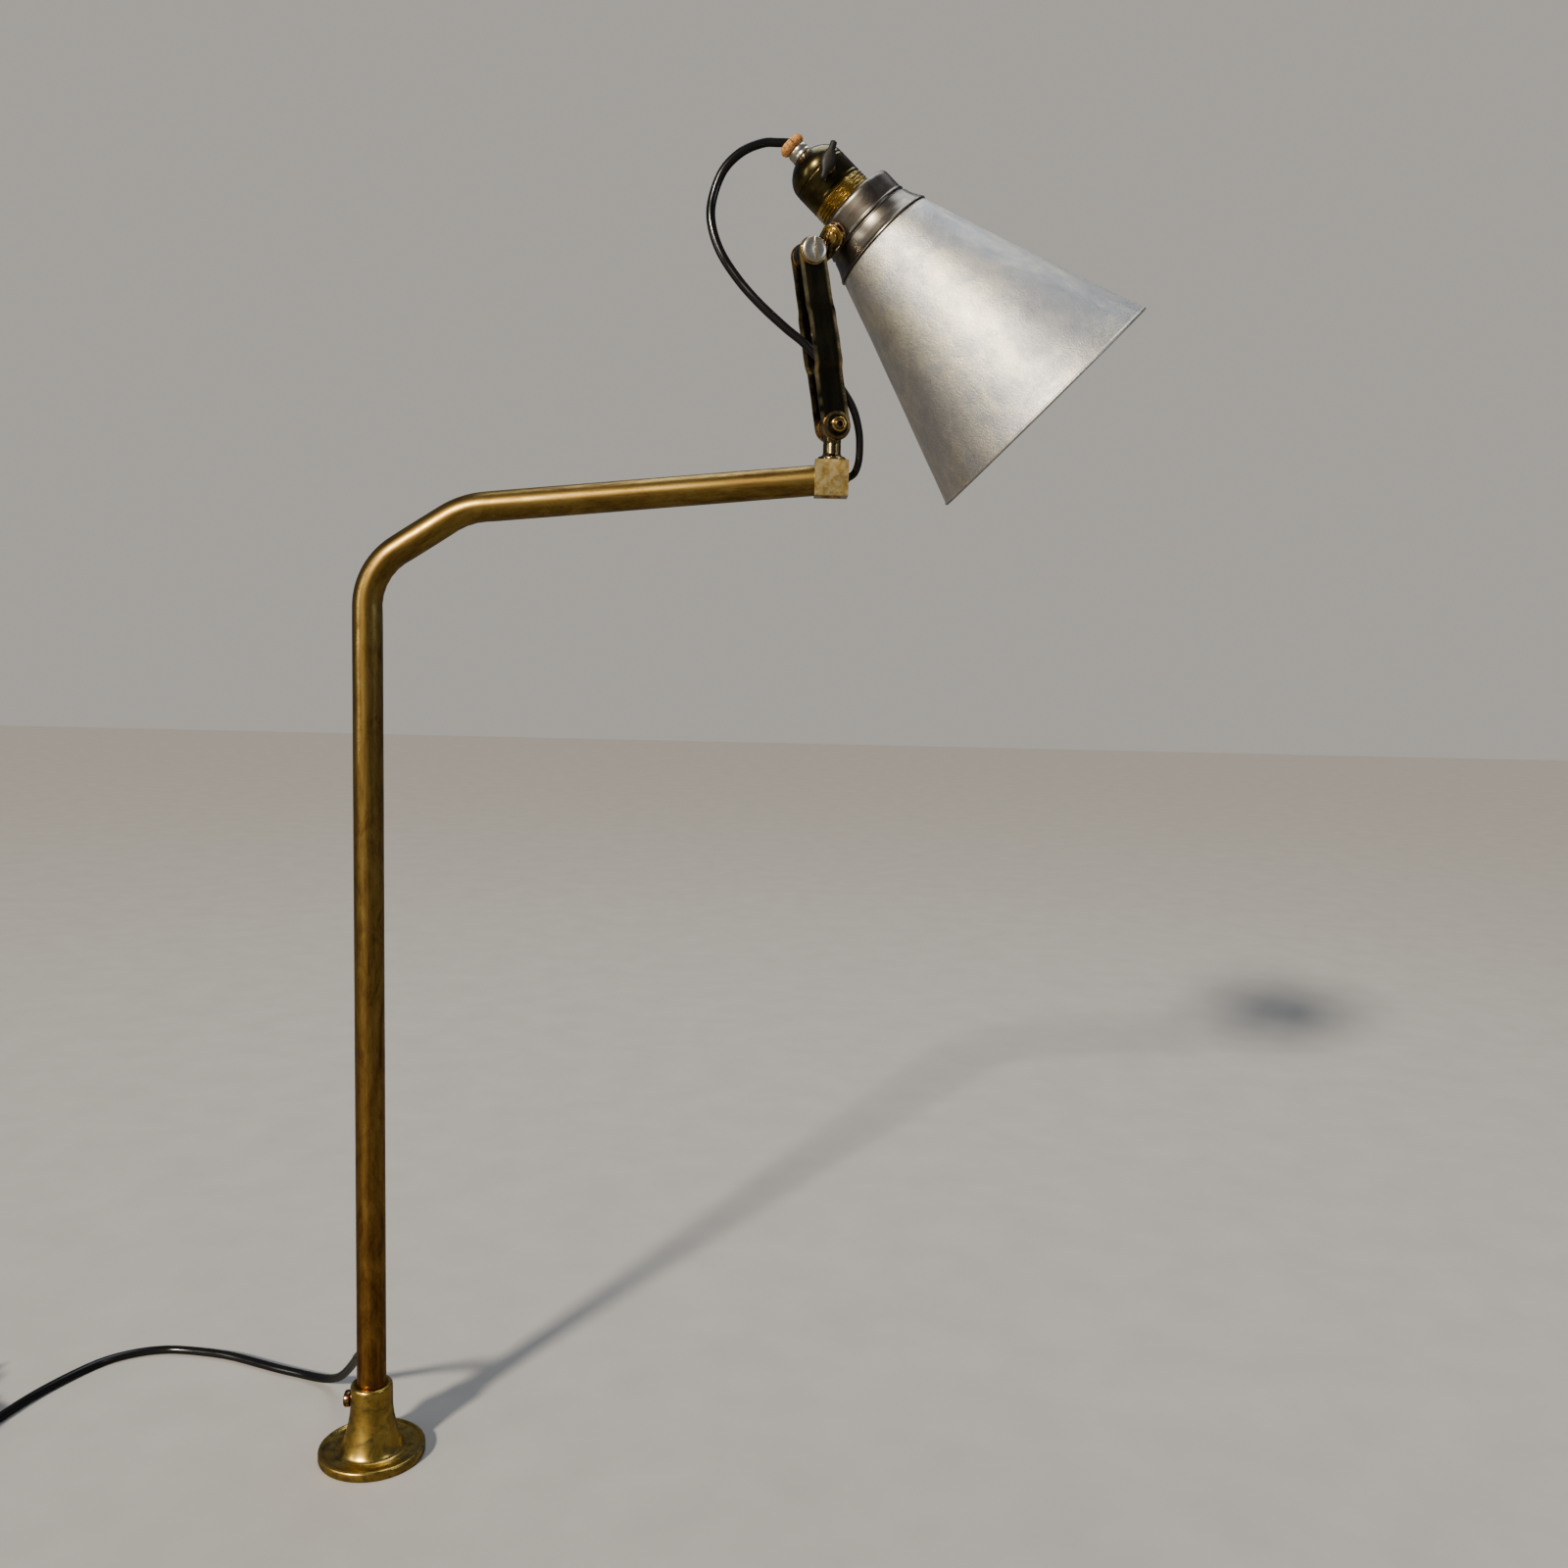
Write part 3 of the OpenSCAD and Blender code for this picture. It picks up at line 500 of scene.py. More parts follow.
def aluminium():
    n = Nt("spun_aluminium")
    cloud = n.noise(n.scaled((0.030, 0.030, 0.024)), 1.0, 8.0, 0.66, 0.35)
    cloud2 = n.noise(n.scaled((0.085, 0.085, 0.06)), 1.0, 7.0, 0.68, 0.25)
    spk = n.noise(n.scaled((1.15, 1.15, 1.15)), 1.0, 4.0, 0.7)
    spin = n.noise(n.rings(0.6, 1.9), 1.0, 4.0, 0.6)
    f = n.math("ADD", n.math("MULTIPLY", cloud, 0.65), n.math("MULTIPLY", cloud2, 0.35))
    # colour mottled by cloud noise: random tone of the spun metal, whose bluish-grey dark end is a painted sky
    # reflection and whose warm cream light end is a painted warm highlight
    c = n.ramp(f, [(0.34, (0.36, 0.37, 0.405)), (0.46, (0.53, 0.535, 0.55)), (0.54, (0.72, 0.69, 0.61)), (0.66, (0.90, 0.845, 0.70))])
    c = n.mix(n.rng(spk, 0.0, 0.48, 0.44, 0.66), c, (0.47, 0.46, 0.44))
    sc = n.noise(n.scaled((0.22, 0.22, 0.05)), 1.0, 8.0, 0.75, 0.8)
    c = n.mix(n.rng(sc, 0.0, 0.5, 0.63, 0.70), c, (0.93, 0.92, 0.89))
    r = n.rng(n.math("ADD", n.math("MULTIPLY", spk, 0.45), n.math("MULTIPLY", cloud, 0.55)), 0.60, 0.36, 0.35, 0.65)
    nb = n.bump(spk, 0.00030, 0.7)
    nb = n.bump(spin, 0.00005, 0.45, nb)
    nb = n.bump(cloud2, 0.0009, 0.35, nb)
    return n.out(c, r, nb)
M_ALU = aluminium()

def aluminium_inside():
    n = Nt("shade_inside")
    cloud = n.noise(n.scaled((0.04, 0.04, 0.03)), 1.0, 6.0, 0.6, 1.0)
    spin = n.noise(n.rings(0.6, 1.9), 1.0, 4.0, 0.6)
    c = n.ramp(cloud, [(0.3, (0.60, 0.60, 0.59)), (0.7, (0.80, 0.79, 0.76))])
    return n.out(c, n.rng(spin, 0.50, 0.36), n.bump(spin, 0.00008, 0.5))
M_ALU_IN = aluminium_inside()

def cork():
    n = Nt("cork_grip")
    v = n.voro(n.scaled((0.62, 0.62, 0.62)), 1.0)
    f = n.noise(n.scaled((0.5, 0.5, 0.5)), 1.0, 6.0, 0.7)
    c = n.ramp(f, [(0.28, (0.22, 0.080, 0.017)), (0.48, (0.50, 0.225, 0.055)), (0.70, (0.70, 0.38, 0.12))])
    c = n.mix(n.rng(v, 0.9, 0.0, 0.08, 0.42), c, (0.10, 0.035, 0.012))
    return n.out(c, n.rng(f, 0.85, 0.55), n.bump(n.math("SUBTRACT", f, n.rng(v, 0.5, 0.0, 0.05, 0.3)), 0.0006, 0.7), 0.0)
M_CORK = cork()

def pvc(name, rough=(0.13, 0.22), base=(0.0035, 0.0035, 0.004), src="sw"):
    n = Nt(name, src)
    s = n.noise(n.scaled((0.3, 0.3, 0.03)), 1.0, 4.0, 0.5)
    d = n.noise(n.scaled((0.35, 0.35, 0.12)), 1.0, 3.0, 0.5)
    c = n.ramp(s, [(0.3, base), (0.75, tuple(v * 1.8 + 0.002 for v in base))])
    return n.out(c, n.rng(d, rough[1], rough[0]), n.bump(d, 0.00003, 0.3), 0.0, Specular_IOR_Level=0.38)
M_FLEX = pvc("black_pvc")
M_FLEX_O = pvc("black_pvc_inner", src="obj")
M_TIE = pvc("tie_pvc", (0.35, 0.5), (0.016, 0.016, 0.017))

def bakelite():
    n = Nt("bakelite", "obj")
    s = n.noise(n.scaled((0.25, 0.25, 0.25)), 1.0, 7.0, 0.65)
    d = n.noise(n.scaled((1.5, 1.5, 1.5)), 1.0, 5.0, 0.7)
    c = n.ramp(s, [(0.35, (0.004, 0.0037, 0.0034)), (0.7, (0.010, 0.0085, 0.007))])
    return n.out(c, n.rng(d, 0.62, 0.44), n.bump(d, 0.00008, 0.5), 0.0, Specular_IOR_Level=0.3)
M_BAKE = bakelite()

def porcelain():
    n = Nt("porcelain", "obj")
    s = n.noise(n.scaled((0.3, 0.3, 0.3)), 1.0, 5.0)
    return n.out(n.ramp(s, [(0.3, (0.70, 0.66, 0.58)), (0.7, (0.82, 0.79, 0.72))]), n.rng(s, 0.3, 0.18),
                 n.bump(s, 0.00005, 0.4), 0.0, Coat_Weight=0.4)
M_PORC = porcelain()
M_INNERBRASS = metal("contact_brass", (0.36, 0.25, 0.08), (0.68, 0.51, 0.19), (0.88, 0.72, 0.36), (0.18, 0.34), src="obj",
                     grain=(0.5, 0.5, 0.5), patch=0.2)
M_STEEL = metal("spring_steel", (0.28, 0.28, 0.29), (0.48, 0.48, 0.48), (0.66, 0.66, 0.65), (0.2, 0.35), src="obj",
                grain=(0.6, 0.6, 0.6), patch=0.3)
M_RINGBRZ = metal("ring_bronze", (0.10, 0.09, 0.07), (0.22, 0.20, 0.16), (0.42, 0.38, 0.30), (0.22, 0.4), src="obj",
                  grain=(0.3, 0.3, 0.3), patch=0.1)

# ------------------------------------------------------------ mains lead (first, as its length is fixed)
lead_route = [(-5.5, 7.9, 52), (-8.6, 12.4, 50.7), (-12.9, 19.8, 46.2), (-19, 31.5, 36.8),
              (-26.6, 44.8, 25), (-35.4, 57.4, 13.6), (-45.5, 67.8, 6.2), (-56, 74.5, 3.4), (-68, 80, 2.6), (-82, 85, 2.6),
              (-100, 92.5, 2.6), (-121, 100.6, 2.6), (-148, 105.5, 2.6), (-166, 105, 2.6), (-182, 98.5, 2.6),
              (-195, 87, 2.6), (-207, 66, 2.6), (-216, 44, 2.6), (-222, 22, 2.6), (-228, 0, 2.6),
              (-236, -18, 2.6), (-249, -32.5, 2.6), (-262, -37.4, 2.6)]
CX, CY = -266.0, -4.0
slots = [(33.4, 2.6), (28.1, 2.6), (22.8, 2.6), (22.8, 7.65), (28.1, 7.65), (33.4, 7.65), (33.4, 12.68),
         (28.1, 12.68), (22.8, 12.68), (20.0, 22.2)]
def ease(t):
    t = min(max(t, 0.0), 1.0)
    return t * t * (3 - 2 * t)
def coil_points():
    """from -83 degrees, clockwise. Each turn changes its row between 70 and 15 degrees"""
    pts = []
    a = -83.0 - 10.0
    a_end = -180.0 - 360.0 * 8
    while a > a_end + 1e-6:
        turns = (15.0 - a) / 360.0            # turns done since 15 degrees
        k = int(turns)
        left = (k + 1 - turns) * 360.0        # degrees to the next 15 degree mark
        r0, z0 = slots[k]
        r1, z1 = slots[k + 1]
        if k < 8:
            w = ease(1 - left / 100.0)
        else:
            w = ease((turns - 8) * 360.0 / 195.0)
        r, z = r0 + (r1 - r0) * w, z0 + (z1 - z0) * w
        pts.append((CX + r * math.cos(math.radians(a)), CY + r * math.sin(math.radians(a)), z))
        a -= 12.0
    pts.append((CX - 20.0, CY, 22.2))
    pts.append((CX - 20.0, CY + 3.0, 22.2))
    return pts
lead_pts = cr(lead_route, 3) + [Vector(p) for p in coil_points()]
lead = sweep("mains_lead", lead_pts, 2.5, 14, (0, 0, 1))
done(lead, M_FLEX, "stand", ("mains_flex", "mains_flex_coil"))

# rubber sleeve that stiffens the lead where it leaves the post
rp = cr(lead_route[:4], 6)[:15]
n_ = len(rp)
rr = [4.0 - 1.15 * ease(i / (n_ - 1)) - (0.16 if i % 3 == 2 and 2 < i < n_ - 2 else 0.0) for i in range(n_)]
relief = sweep("lead_sleeve", rp, rr, 24, (0, 0, 1), inner=2.45)
done(relief, M_FLEX, "stand")
bush = lathe("post_bush", fil([(2.45, 6.2), (3.55, 6.2), (3.55, 8.05), (4.7, 8.2), (4.7, 9.0), (4.2, 9.4), (2.45, 9.4)], 0.2),
             EXIT, 48, True)
done(bush, M_BAKE, "stand", ("post_exit_bush",), M=EXIT)

# tie round the coil, where the lead comes in
def band(name, a_deg, th=0.7, w=3.2):
    """strap round the section of the coil at one angle"""
    r0, r1, z0, z1 = 20.25, 35.95, 0.06, 15.18
    cx, cz = (r0 + r1) / 2, (z0 + z1) / 2
    hx, hz = (r1 - r0) / 2, (z1 - z0) / 2
    outl = []
    for k in range(48):
        t = 2 * pi * k / 48
        c, s_ = math.cos(t), math.sin(t)
        e = 0.42
        outl.append((cx + hx * math.copysign(abs(c) ** e, c), cz + hz * math.copysign(abs(s_) ** e, s_)))
    M = T((CX, CY, 0)) @ Rz(a_deg) @ Rx(90)
    verts, faces = [], []
    for (sx, y) in ((1.0, -w / 2), (1.0, w / 2), (1 - th / hx, w / 2), (1 - th / hx, -w / 2)):
        for (x, z) in outl:
            verts.append((cx + (x - cx) * sx, cz + (z - cz) * (sx if sx < 1 else 1.0), y))
    for i in range(4):
        for k in range(48):
            k2 = (k + 1) % 48
            A, B = i * 48, ((i + 1) % 4) * 48
            faces.append((A + k, A + k2, B + k2, B + k))
    return build(name, verts, faces, M), M
tie, MT = band("coil_tie", 62)
done(tie, M_TIE, "stand", M=MT)
tie2, MT2 = band("coil_tie_2", -118)
done(tie2, M_TIE, "stand", M=MT2)

# two-pin plug lying on the coil
PL = T((CX - 20, CY + 17, 22.2))
def rounded_plug():
    verts, faces = [], []
    rows = []
    st = [(-17.0, 0.40, 0.62), (-16.6, 0.55, 0.74), (-15.0, 0.70, 0.84), (-11.5, 0.84, 0.93), (-7, 0.95, 0.99), (-1, 1, 1),
          (9, 1, 1), (13.5, 0.99, 0.99), (16, 0.95, 0.95), (16.8, 0.9, 0.88), (17, 0.84, 0.8)]
    seg = 40
    for y, kx, kz in st:
        row = []
        for k in range(seg):
            t = 2 * pi * k / seg
            c, s_ = math.cos(t), math.sin(t)
            x = 15.9 * kx * math.copysign(abs(c) ** 0.55, c)
            z = 6.9 * kz * math.copysign(abs(s_) ** 0.62, s_)
            # finger grips on the sides
            row.append(len(verts))
            verts.append((x, y, z))
        rows.append(row)
    for i in range(len(rows) - 1):
        for k in range(seg):
            k2 = (k + 1) % seg
            faces.append((rows[i][k], rows[i][k2], rows[i + 1][k2], rows[i + 1][k]))
    faces.append(tuple(rows[0]))
    faces.append(tuple(rows[-1]))
    o = build("plug_shell", verts, faces, PL)
    for i in range(4):
        for s_ in (-1, 1):
            boo(o, block("cut", (s_ * 13.9 if s_ > 0 else -20, -8 + i * 4.4, -8), (20 if s_ > 0 else -13.9, -6.4 + i * 4.4, 8), PL))
    return bevel(o, 0.35, 2, 40)
plug = rounded_plug()
done(plug, M_BAKE, "stand", ("plug_body",), M=PL)
pins = None
for s_ in (-1, 1):
    PM = PL @ T((s_ * 9.3, 17, 0)) @ Rx(-90)
    p_ = lathe("plug_pin_%s" % ("l" if s_ < 0 else "r"), fil([(0, -1), (2.0, -1), (2.0, 17.2), (1.5, 18.6), (0.8, 19), (0, 19)], 0.5), PM, 32)
    done(p_, M_INNERBRASS, "stand", ("plug_pins",) if s_ < 0 else (), M=PM)
    if s_ < 0:
        pins = [p_]
    else:
        pins.append(p_)
nose_path = lead_pts[-12:-1]
nn = len(nose_path)
nose = sweep("plug_nose", nose_path, [2.85 + 1.9 * ease(i / (nn - 1)) for i in range(nn)], 20, (0, 0, 1), inner=2.45)
done(nose, M_BAKE, "stand")

# ------------------------------------------------------------ base flange
fl = [(0, 11), (4.25, 11), (4.25, 0.6), (4.9, 0.0), (28.2, 0), (28.75, 0.25), (29.0, 0.9), (29.0, 4.2), (28.8, 4.9), (28.3, 5.3),
      (27.7, 5.5), (27.1, 5.35), (26.6, 4.8), (25.9, 4.45), (24.5, 4.3), (22.6, 4.16), (21.4, 4.12), (20.9, 4.30), (20.4, 4.32), (19.9, 4.14)]
bell = cr([(19.0, 4.15), (17.9, 4.65), (16.9, 5.9), (15.9, 8.2), (15.0, 11.0), (14.1, 14.2), (13.2, 17.6), (12.45, 21.2),
           (11.85, 25), (11.52, 29.2), (11.5, 31)], 4)
fl += [(p.x, p.y) for p in [Vector((a[0], a[1])) for a in bell]]
fl += [(11.5, 38.9), (11.42, 39.9), (11.2, 40.7), (10.8, 41.25), (10.3, 41.5), (9.4, 41.5), (8.8, 41.2), (8.5, 40.7), (8.45, 40.4), (7.98, 40.2),
       (7.98, 14), (0, 14)]
flange = lathe("flange", fl, I4, 128)
done(flange, M_FLANGE, "stand", ("base_flange",), M=I4, sharp=50)

MS = T((-8.05, 0, 32)) @ Ry(-90)
ss = lathe("set_screw", [(0, 0), (2.3, 0), (2.45, 0.4), (2.45, 3.7), (4.2, 3.75), (4.45, 3.95), (4.5, 4.3), (4.5, 6.0), (4.4, 6.4), (4.1, 6.75), (3.6, 6.92), (2.6, 6.95), (0, 6.95)], MS, 64)
boo(ss, block("cut", (-6, -0.5, 5.7), (6, 0.5, 8), MS @ Rz(8)))
done(ss, M_DARKSCREW, "stand", ("flange_set_screw",), M=MS)

# ------------------------------------------------------------ post tube
c1, c2, c3 = (0.0, 489.7), (51.4, 522.6), (243.0, 542.0)
diag = math.atan2(c2[1] - c1[1], c2[0] - c1[0])
arm_a = math.atan2(c3[1] - c2[1], c3[0] - c2[0])
turn1, turn2 = pi / 2 - diag, diag - arm_a
R1, R2 = 36.0, 45.0
t1, t2 = R1 * math.tan(turn1 / 2), R2 * math.tan(turn2 / 2)
def post_path(z0=14.0, x1=237.6, step=6.0):
    pts = []
    zt = c1[1] - t1
    n = int((zt - z0) / step)
    pts += [Vector((0, 0, z0 + (zt - z0) * i / n)) for i in range(n)]
    k = 26
    for i in range(k):
        a = pi - turn1 * i / k
        pts.append(Vector((R1 + R1 * math.cos(a), 0, zt + R1 * math.sin(a))))
    p1 = Vector((R1 - R1 * math.cos(turn1), 0, zt + R1 * math.sin(turn1)))
    dl = math.hypot(c2[0] - c1[0], c2[1] - c1[1]) - t1 - t2
    dd = Vector((math.cos(diag), 0, math.sin(diag)))
    k = max(2, int(dl / 3))
    pts += [p1 + dd * (dl * i / k) for i in range(k)]
    p2 = p1 + dd * dl
    cc = p2 + R2 * Vector((math.sin(diag), 0, -math.cos(diag)))
    k = 14
    for i in range(k):
        a = pi / 2 + diag - turn2 * i / k
        pts.append(cc + R2 * Vector((math.cos(a), 0, math.sin(a))))
    p3 = cc + R2 * Vector((-math.sin(arm_a), 0, math.cos(arm_a)))
    da = Vector((math.cos(arm_a), 0, math.sin(arm_a)))
    L = (x1 - p3.x) / math.cos(arm_a)
    k = int(L / step)
    pts += [p3 + da * (L * i / k) for i in range(k + 1)]
    return pts
PP = post_path()
S1 = c1[1] - t1 - 14
S2 = S1 + R1 * turn1
S3 = S2 + math.hypot(c2[0] - c1[0], c2[1] - c1[1]) - t1 - t2
S4 = S3 + R2 * turn2
def post_r(r, s, a):
    """hand-bent tube: a little flattened in the bends, with slight ripples on their inside"""
    # section x is along Y of the lamp and section y lies in the plane of the bend
    inn = math.sin(a)
    d = 0.0
    for (a0, b0, side) in ((S1, S2, 1), (S3, S4, 1)):
        if a0 - 8 < s < b0 + 8:
            w = min(ease((s - a0 + 8) / 14), ease((b0 + 8 - s) / 14))
            d -= 0.10 * w * abs(inn)
            if INN * inn > 0:
                d -= 0.16 * w * (0.5 + 0.5 * math.sin(s * 0.95)) * abs(inn) ** 2
    d -= 0.045 * (noise.noise(Vector((math.cos(a) * 0.9, math.sin(a) * 0.9, s * 0.035))) + 0.5)
    return r + d
_t, _u, _v = frames([Vector(p) for p in PP], (0, 1, 0))[90]
INN = 1.0 if _v.dot(Vector((1, 0, -1))) > 0 else -1.0
tube = sweep("post", PP, 7.95, 56, (0, 1, 0), inner=6.75, rfun=post_r)
done(tube, M_TUBE, "stand", ("post_tube",), sharp=60)

# ------------------------------------------------------------ end block, washer, stem
blk = block("block", (BX - 8.75, -9.5, BBOT), (BX + 8.75, 9.5, BTOP))
boo(blk, rod("cut", 5.2, BBOT - 1, BBOT + 3.6, T((BX, 0, 0)), 48))
boo(blk, rod("cut", 2.6, BBOT - 1, BTOP + 1, T((BX, 0, 0)), 48))
MB = T((BX, 0, BZ)) @ Ry(90 - math.degrees(arm_a))
boo(blk, rod("cut", 8.0, -20, -5.43, MB, 64))
wa, wb = Vector((235.5, 4.1, 541.2)), Vector((252.4, 6.7, 543.8))
wd = (wb - wa).normalized()
MW = T(wa) @ wd.to_track_quat("Z", "Y").to_matrix().to_4x4()
boo(blk, rod("cut", 2.6, -1.5, 30, MW, 32))
bevel(blk, 0.55, 3, 35)
done(blk, M_BLOCK, "stand", ("end_block",), M=T((BX, 0, BZ)))
# frame at the end of the tube where it enters the block
MTUBE = T((BX - 8.75, 0, BZ - 8.75 * math.tan(arm_a))) @ Ry(90 - math.degrees(arm_a))

MST = T((BX, 0, BTOP))
wsh = lathe("thrust_washer", fil([(2.7, 0.0), (7.2, 0.0), (7.2, 0.5), (2.7, 0.5)], 0.12), MST, 64, True)
done(wsh, M_FIBRE, "stand", ("stem_thrust_washer",), M=MST)

st = lathe("stem", [(0, 0.5), (7.3, 0.5), (7.5, 0.7), (7.5, 1.2), (7.35, 1.6), (6.9, 2.05), (6.2, 2.35), (5.6, 2.6), (5.1, 3.0), (4.8, 3.5), (4.65, 4.2),
                    (4.65, 8.6), (4.6, 8.8), (4.5, 8.9), (4.5, 9.2), (4.6, 9.35), (4.65, 9.5), (4.65, 12.6), (0, 12.6)], MST, 64)
eye = lathe("cut", fil([(0, -4.65), (6.2, -4.65), (6.2, 4.65), (0, 4.65)], 0.35), YAW @ Rx(90), 64)
boo(st, eye, "UNION")
sh = rod("cut", 2.5, -14.2, 1.0, MST, 48)
boo(st, sh, "UNION")
done(st, M_STEM, "stem", ("swivel_stem",), M=MST, sharp=40)

MR = T((BX, 0, BBOT))
rs = lathe("stem_screw", fil([(0, 0.6), (3.6, 0.6), (4.2, 1.1), (4.2, 3.3), (1.63, 3.3), (1.63, 12.6), (0, 12.6)], 0.2), MR, 48)
boo(rs, block("cut", (-6, -0.45, 0.2), (6, 0.45, 1.7), MR))
done(rs, M_GOLDSCREW, "stem", ("stem_retaining_screw",), M=MR)

# ------------------------------------------------------------ arm plates
def plate(side, name):
    """folded flat bar: (offset, z) run with small-radius jogs, crowned long edges and round ends"""
    inner_f = [(4.95, -7.75), (4.95, 27.2), (5.15, 28.3), (7.45, 32.0), (7.65, 33.2), (7.65, 55.9), (7.45, 57.1), (6.2, 60.2), (6.0, 61.3), (6.0, 94.1)]
    def off(z):
        for (a, za), (b, zb) in zip(inner_f, inner_f[1:]):
            if z <= zb:
                t = (z - za) / (zb - za)
                return a + (b - a) * min(max(t, 0), 1)
        return 6.0
    def half(z):
        w = 7.72 + (6.99 - 7.72) * z / LINK
        if z < 0:
            return math.sqrt(max(7.72 ** 2 - z * z, 0.0))
        if z > LINK:
            return math.sqrt(max(6.99 ** 2 - (z - LINK) ** 2, 0.0))
        # slightly wavy hammered edges
        return w - 0.16 * (0.5 + 0.5 * math.sin(z * 0.42 + side)) * ease(z / 12) * ease((LINK - z) / 12)
    zs = [-7.72 * math.cos(pi / 2 * i / 9) for i in range(9)]
    zs += [0, 3, 6, 9, 12, 15, 18, 21, 24, 26, 27.2, 27.8, 28.3, 29.5, 30.7, 32.0, 32.6, 33.2, 35, 38, 41, 44.5, 48, 51, 54, 55.9, 56.5, 57.1, 58.6,
           60.2, 60.8, 61.3, 64, 67, 70, 73, 76, 79, 82, 84.5, 87.1]
    zs += [LINK + 6.99 * math.sin(pi / 2 * i / 9) for i in range(1, 10)]
    cols = 10
    verts, faces = [], []
    outer, inn = [], []
    for z in zs:
        h = max(half(z), 0.02)
        o_, i_ = [], []
        for k in range(cols + 1):
            x = -h + 2 * h * k / cols
            o = off(z)
            e = 1.5 - 0.10 * abs(2 * k / cols - 1) ** 6 - 0.05 * (noise.noise(Vector((x * 0.12, z * 0.06, side * 3.1))) + 0.5)
            o_.append(len(verts)); verts.append((x, side * (o + e), z))
            i_.append(len(verts)); verts.append((x, side * o, z))
        outer.append(o_); inn.append(i_)
    n = len(zs)
    for j in range(n - 1):
        for k in range(cols):
            faces.append((outer[j][k], outer[j][k + 1], outer[j + 1][k + 1], outer[j + 1][k]))
            faces.append((inn[j][k], inn[j + 1][k], inn[j + 1][k + 1], inn[j][k + 1]))
        for k in (0, cols):
            faces.append((outer[j][k], outer[j + 1][k], inn[j + 1][k], inn[j][k]))
    for j in (0, n - 1):
        for k in range(cols):
            faces.append((outer[j][k], outer[j][k + 1], inn[j][k + 1], inn[j][k]))
    o = build(name, verts, faces, ARM)
    boo(o, rod("cut", 2.56, -12, 12, ARM @ Rx(90), 40))
    boo(o, rod("cut", 2.56, -12, 12, UPPER @ Rx(90), 40))
    bevel(o, 0.22, 2, 50)
    return o
pf_ = plate(-1, "plate_front")
done(pf_, M_PLATE, "arm", ("arm_plate_front",), M=ARM, sharp=28)
pb_ = plate(1, "plate_back")
done(pb_, M_PLATE, "arm", ("arm_plate_back",), M=ARM, sharp=28)

def body_of_node(n):
    for b, ms in frame["record"]["behaviour"]["bodies"].items():
        if n in ms:
            return b
AF = ARM @ Rx(90)      # local Z towards the camera
UFm = UPPER @ Rx(90)
def ringp(r, ri, z0, z1, c=0.18):
    return [(ri, z0), (r - c, z0), (r - c * 0.3, z0 + c * 0.3), (r, z0 + c), (r, z1 - c), (r - c * 0.3, z1 - c * 0.3), (r - c, z1), (ri + c, z1), (ri, z1 - c)]

b_ = body_of_node("lower_pivot_bolt")
lb = lathe("lower_bolt", [(0, -PF - 3.6), (4.6, -PF - 3.6), (5.0, -PF - 3.4), (5.2, -PF - 3.0), (5.2, -PF - 1.05), (2.5, -PF - 1.05), (2.5, PF + 4.9), (2.3, PF + 5.25),
                         (2.05, PF + 5.4), (1.35, PF + 5.4), (1.25, PF + 5.25), (1.25, PF + 1.9), (0, PF + 1.8)], AF, 64)
boo(lb, block("cut", (-6, -0.5, -PF - 5), (6, 0.5, -PF - 2.6), AF))
done(lb, M_PIVOT, b_, ("lower_pivot_bolt",), M=AF)
lw = lathe("lower_washer_1", ringp(7.15, 2.6, PF, PF + 1.0, 0.3), AF, 80, True)
done(lw, M_PIVOT, body_of_node("lower_pivot_washers"), ("lower_pivot_washers",), M=AF)
lw2 = lathe("lower_washer_2", [(2.6, PF + 1.0), (5.5, PF + 1.0), (5.65, PF + 1.15), (5.65, PF + 1.6), (5.35, PF + 2.0), (4.9, PF + 2.1), (2.6, PF + 2.1)], AF, 80, True)
done(lw2, M_KNUCKLE, body_of_node("lower_pivot_washers"), M=AF)
lw3 = lathe("lower_washer_3", ringp(7.15, 2.6, -PF - 1.0, -PF, 0.2), AF, 80, True)
done(lw3, M_PIVOT, body_of_node("lower_pivot_washers"), M=AF)
ln = lathe("lower_nut", [(2.51, PF + 2.1), (3.75, PF + 2.1), (3.9, PF + 2.35), (3.9, PF + 4.2), (3.75, PF + 4.6), (3.45, PF + 4.8), (2.9, PF + 4.8), (2.51, PF + 4.5)], AF, 64, True)
done(ln, M_GOLDSCREW, body_of_node("lower_pivot_nut"), ("lower_pivot_nut",), M=AF)

us = lathe("upper_screw", [(0, -UF - 13.5), (1.9, -UF - 13.5), (2.1, -UF - 13.3), (2.1, -UF - 5), (2.5, -UF - 4.8), (2.5, UF + 1.0), (6.3, UF + 1.0), (6.5, UF + 1.25), (6.5, UF + 3.1),
                          (6.35, UF + 3.45), (5.9, UF + 3.75), (5.3, UF + 3.98), (4.3, UF + 4.07), (0, UF + 4.1)], UFm, 80)
boo(us, block("cut", (-0.55, -8, UF + 2.9), (0.55, 8, UF + 5), UFm @ Rz(-4)))
bevel(us, 0.12, 2, 50)
done(us, M_NICKEL, body_of_node("upper_pivot_screw"), ("upper_pivot_screw",), M=UFm)
uw = lathe("upper_washer_1", ringp(7.1, 2.6, UF, UF + 1.0, 0.3), UFm, 80, True)
done(uw, M_GOLDSCREW, body_of_node("upper_pivot_washers"), ("upper_pivot_washers",), M=UFm)
uw2 = lathe("upper_washer_2", ringp(6.0, 2.6, -UF - 1.0, -UF, 0.2), UFm, 64, True)
done(uw2, M_GOLDSCREW, body_of_node("upper_pivot_washers"), M=UFm)
uw3 = lathe("upper_washer_3", ringp(4.8, 2.6, -UF - 1.9, -UF - 1.0, 0.2), UFm, 64, True)
done(uw3, M_PIVOT, body_of_node("upper_pivot_washers"), M=UFm)
